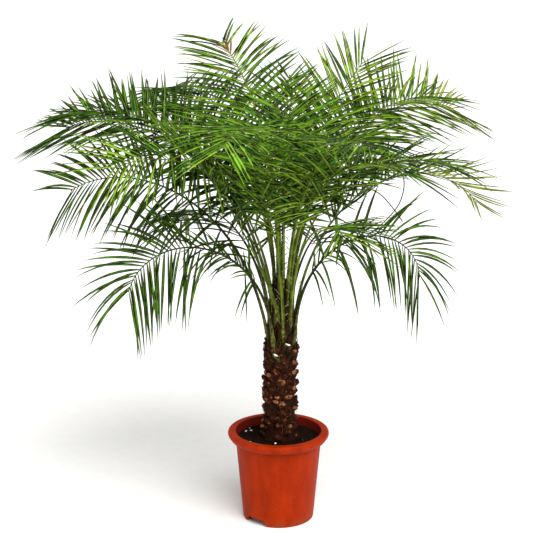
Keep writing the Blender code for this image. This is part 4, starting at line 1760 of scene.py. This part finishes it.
@dataclass
class Crown:
    """The fronds: their stalks, their leaflets and the spines at the foot of the stalks.

    Attributes:
        spacing: from one pair of leaflets to the next along the rib.
        half_width: of a leaflet.
        stray: share of the leaflets that hold each of the two tones near their frond's.
        spread_varies, lift_varies: how far a leaflet's angles stray, in radians.
        sheath: how far below its foot, how far in, and how wide a stalk runs down in the trunk.
        clasp_size: length, half width and half thickness of a stalk's clasping foot.
        clasp_drop: how far below the stalk's foot it starts.
        clasp_sunk: how deep its lower and its upper end lie in the trunk.
        spine_share, spine_spacing: share of the rib's length with spines, and the distance between two.
        spine_from, spine_gap: where they start, and how far before the leaflets they end, as shares.
        spine_length: of the shortest, and the measure of how much longer the others grow.
        spine_grows: share of the rib's length from which they grow longer, and the power of that.
        spine_half_width: of a spine.
        spine_root: how far out on the stalk it is rooted, as a share of the stalk's width.
        strip_radius: half the thickness of a hanging strip.
        ribs: the fronds' ribs.
    """

    spacing: float = 0.0112
    half_width: float = 0.0034
    stray: float = 0.24
    spread_varies: float = 0.09
    lift_varies: float = 0.12
    sheath: tuple[tuple[float, float, float], ...] = ((0.034, 0.0080, 0.011), (0.022, 0.0045, 0.0135),
                                                      (0.010, 0.0018, 0.0135))
    clasp_size: tuple[float, float, float] = (0.060, 0.0125, 0.0042)
    clasp_drop: float = 0.042
    clasp_sunk: tuple[float, float] = (0.0015, 0.001)
    spine_share: float = 0.2
    spine_spacing: float = 0.016
    spine_from: float = 0.07
    spine_gap: float = 0.01
    spine_length: tuple[float, float] = (0.010, 0.035)
    spine_grows: tuple[float, float] = (0.05, 1.5)
    spine_half_width: float = 0.0008
    spine_root: float = 0.4
    strip_radius: float = 0.0015
    ribs: list[Rib] = field(default_factory=list)

    def build(self, blades: Growth, lumps: Growth, stalks: Growth) -> None:
        """Builds every frond, each kind of piece joined.

        Args:
            blades: the growth for leaflets and spines.
            lumps: the growth for the clasping feet.
            stalks: the growth for ribs.
        """
        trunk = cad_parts["trunk"].data
        tree = BVHTree.FromPolygons([vertex.co for vertex in trunk.vertices],
                                    [face.vertices for face in trunk.polygons])
        self.ribs = [Rib(frond, tree) for frond in FRONDS]
        old = [rib for rib in self.ribs if rib.frond.tone is Tone.OLD]
        other = [rib for rib in self.ribs if rib not in old]
        hung = [rib for rib in self.ribs if rib.frond.name in {strip.frond for strip in STRIPS}]
        for name, host, ribs, finish, sides, depth, crown in (
                ("frond_stalks", self.stalk_paths(other), other, STALK, 10, 1.24, 0.12),
                ("old_frond_stalks", self.stalk_paths(old), old, OLD_SHADED_STALK, 10, 1.24, 0.12),
                ("hanging_strips", self.strip_paths(), hung, DRIED_STRIP, 5, 1.0, 1.0)):
            values = {"Sides": sides, "Depth": depth, "Crown": crown, "Material": finish.build()}
            stalks.grow(name, host, values, solids(ribs), smooth=True)
        clasp = block("clasp_shape", CLASP_BLOCK)
        values = {"Shape": clasp, "Relief": 0.0016, "Grain": 0.009, "Seed": 12, "Material": CLASP.build()}
        lumps.grow("clasping_feet", self.clasps(), values, solids(self.ribs), smooth=True)
        bpy.data.objects.remove(clasp)
        values = {"Segments": 2, "Fold": 0.2, "Thickness": 0.9, "Width Variation": 0.2, "Seed": 4,
                  "Material": SPINE.build()}
        blades.grow("stalk_spines", self.spines(), values, solids(self.ribs))
        for number, (tone, (points, nodes)) in enumerate(self.leaflets().items()):
            values = {"Segments": 6, "Fold": 0.85, "Thickness": 0.2, "Width Variation": 0.18,
                      "Seed": number, "Material": LEAFLET_SKINS[tone].build()}
            blades.grow("leaflets_" + tone.value, points, values, sorted(nodes))

    def stalk_paths(self, ribs: Iterable[Rib]) -> Paths:
        """Draws ribs as lines, each with its width and upper direction.

        Args:
            ribs: those to draw.

        Returns:
            The lines.
        """
        paths = Paths()
        for rib in ribs:
            line = [(rib.points[0] - UP * below - rib.out * inward, -rib.out, width / 2, 0.0)
                    for below, inward, width in self.sheath]
            for step in range(RACHIS_STEPS + 1):
                share = step / RACHIS_STEPS
                point, _, _, upper = rib.frame(share)
                line.append((point, upper, between(STALK_WIDTHS, share) / 2, share))
            paths.add(line)
        return paths

    def strip_paths(self) -> Paths:
        """Draws the hanging strips as lines.

        Returns:
            The lines.
        """
        paths = Paths()
        for strip in STRIPS:
            rib = next(rib for rib in self.ribs if rib.frond.name == strip.frond)
            paths.add((point, Vector((0, -1, 0)), self.strip_radius, 0.0)
                      for point in strip.points(rib.frame(strip.share)[0]))
        return paths

    def clasps(self) -> Points:
        """Places the clasping feet of the stalks, flat on the trunk.

        Returns:
            Their points.
        """
        points = Points()
        below, above = self.clasp_sunk
        for rib in self.ribs:
            start = rib.points[0] - UP * self.clasp_drop - rib.out * below
            facing = (rib.points[3] - rib.out * above - start).normalized()
            points.add(start, facing, rib.out, self.clasp_size)
        return points

    def spines(self) -> Points:
        """Places the spines along both edges of each stalk, from its foot to the first leaflets.

        Returns:
            Their points.
        """
        rng = random.Random(9)
        points = Points()
        shortest, longer = self.spine_length
        grows_from, power = self.spine_grows
        reach = BARE_STALK - (self.spine_from + self.spine_gap)
        for rib in self.ribs:
            count = round(rib.frond.length * self.spine_share / self.spine_spacing)
            for number in range(count):
                share = self.spine_from + reach * (number + rng.uniform(0, 0.8)) / count
                point, along, side, upper = rib.frame(share)
                hand = rng.choice((-1, 1))
                length = shortest + longer * ((share - grows_from) / BARE_STALK) ** power
                facing = side * hand + along * rng.uniform(0.5, 1.1) + upper * rng.uniform(-0.1, 0.5)
                edge = point + side * hand * between(STALK_WIDTHS, share) * self.spine_root
                points.add(edge, facing.normalized(), upper,
                           (length, self.spine_half_width, self.spine_half_width))
        return points

    def leaflets(self) -> dict[Tone, tuple[Points, set[str]]]:
        """Places every leaflet, by its tone.

        Returns:
            For each tone the points and the names of the solids that they stand for.
        """
        sorted_out = {tone: (Points(), set()) for tone in Tone}
        for rib in self.ribs:
            frond = rib.frond
            rng = random.Random(frond.name)
            pairs = round(frond.length * (1 - BARE_STALK) / self.spacing * frond.density)
            for number in range(pairs):
                for hand in (-1, 1):
                    place = (number + 0.5 + rng.uniform(-0.2, 0.2)) / pairs
                    chance = LOST_ABOVE if hand * frond.roll > 0 else LOST
                    lost = place < max(frond.sparse, frond.stunted) and rng.random() < chance
                    if place < frond.first or (lost and place < frond.sparse):
                        continue
                    tone = frond.tone_at(place, rng, self.stray)
                    points, nodes = sorted_out[tone]
                    shrink = SHRIVELLED if tone is Tone.DRIED else STUNTED if lost else 1.0
                    self.add_leaflet(points, rib, place, hand, rng, shrink)
                    nodes.update(frond.nodes())
        return sorted_out

    def add_leaflet(self, points: Points, rib: Rib, place: float, hand: int, rng: random.Random,
                    shrink: float) -> None:
        """Adds one leaflet by the rule that the solids follow.

        Args:
            points: where it is added.
            rib: the rib that it grows on.
            place: from 0, the first pair, to 1, the last pair.
            hand: -1 for the left side and 1 for the right.
            rng: the source of its small changes.
            shrink: how much of its length and spread is left.
        """
        share = BARE_STALK + (1 - BARE_STALK) * min(max(place, 0), 1)
        point, along, side, upper = rib.frame(share)
        length = rib.frond.leaflet_length(place) * rng.uniform(*LENGTH_VARIES) * shrink
        hang = HANG * (1 - place ** 2) * max(0, -hand * math.sin(math.radians(rib.frond.roll)))
        loose = 1 + TANGLE * (1 - place) ** 2
        spread = SPREAD + hang - SPREAD_CLOSES * place ** 4
        spread = spread * shrink + rng.uniform(-self.spread_varies, self.spread_varies) * loose
        lift = LIFT_FIRST + (LIFT_LAST - LIFT_FIRST) * place
        lift += rng.uniform(-self.lift_varies, self.lift_varies) * loose
        out = side * hand * math.cos(lift) + upper * math.sin(lift)
        facing = along * math.cos(spread) + out * math.sin(spread)
        across = (along - facing * along.dot(facing)).normalized()
        normal = facing.cross(across)
        if normal.dot(upper) < 0:
            normal.negate()
        normal = (normal + across * rng.uniform(*TWIST_VARIES)).normalized()
        sag = rib.frond.sag * rng.uniform(*SAG_VARIES) * (1 + 2 * hang)
        fall = UP - facing * UP.dot(facing) * SAG_SQUARE
        bend = (across * rng.uniform(*BEND_VARIES) - fall * sag) * length
        half = self.half_width * math.sqrt(shrink)
        points.add(point, facing, normal, (length, half, half), bend)


# Studio


@dataclass(frozen=True)
class Sun:
    """A light from far off.

    Attributes:
        name: what it is for.
        strength: in watts for each square metre.
        softness: how wide it looks, in degrees.
        height, azimuth: where it stands, in degrees.
    """

    name: str
    strength: float
    softness: float
    height: float
    azimuth: float


@dataclass
class Studio:
    """The pale floor, the soft light and the camera at the photograph's angle.

    Attributes:
        image: width and height of the picture, in pixels.
        focal: the lens's focal length, in pixels of that picture.
        eye: where the camera stands.
        pitch: how far it looks down, in degrees.
        sensor: width of the camera's sensor, in millimetres.
        floor_size: length of the floor's sides.
        suns: a soft key light from the right in front, and a weaker one from the left.
        room: brightness of the room all round.
    """

    image: tuple[int, int] = (533, 534)
    focal: float = 1471.0
    eye: tuple[float, float, float] = (-0.0305, -3.54, 1.577)
    pitch: float = 14.5
    sensor: float = 36.0
    floor_size: float = 80.0
    suns: tuple[Sun, ...] = (Sun("key", 3.8, 52, 52, -62), Sun("fill", 0.2, 60, 30, 215))
    room: float = 0.58

    def build(self) -> None:
        """Builds the camera, the lights and the floor."""
        lens = bpy.data.cameras.new("camera")
        lens.sensor_width = self.sensor
        lens.lens = self.sensor * self.focal / max(self.image)
        lens.clip_end = 2 * self.floor_size
        camera = in_scene("camera", lens)
        camera.location = self.eye
        camera.rotation_euler = (math.radians(90 - self.pitch), 0, 0)
        bpy.context.scene.camera = camera
        bpy.context.scene.view_settings.view_transform = "Standard"
        for sun in self.suns:
            light = bpy.data.lights.new(sun.name, "SUN")
            light.energy = sun.strength
            light.angle = math.radians(sun.softness)
            towards = climbing(heading(sun.azimuth), sun.height)
            in_scene(sun.name, light).rotation_euler = towards.to_track_quat("Z", "Y").to_euler()
        world = bpy.data.worlds.new("room")
        world.use_nodes = True
        feed(world.node_tree.nodes["Background"], {"Color": linear("#ffffff"), "Strength": self.room})
        bpy.context.scene.world = world
        half = self.floor_size / 2
        corners = [(-half, -half, 0), (half, -half, 0), (half, half, 0), (-half, half, 0)]
        floor = new_object("floor", corners, [(0, 1, 2, 3)], FLOOR_PAINT.build())


def main() -> None:
    """Builds the palm and its studio."""
    logging.basicConfig(level=logging.INFO, format="%(name)s: %(message)s")
    blades, lumps, stalks = blade_growth(LEAF_PROFILE), lump_growth(), stalk_growth()
    Studio().build()
    Pot().build()
    Compost().build(lumps)
    Trunk().build(lumps, blades)
    Crown().build(blades, lumps, stalks)


if __name__ == "__main__":
    main()
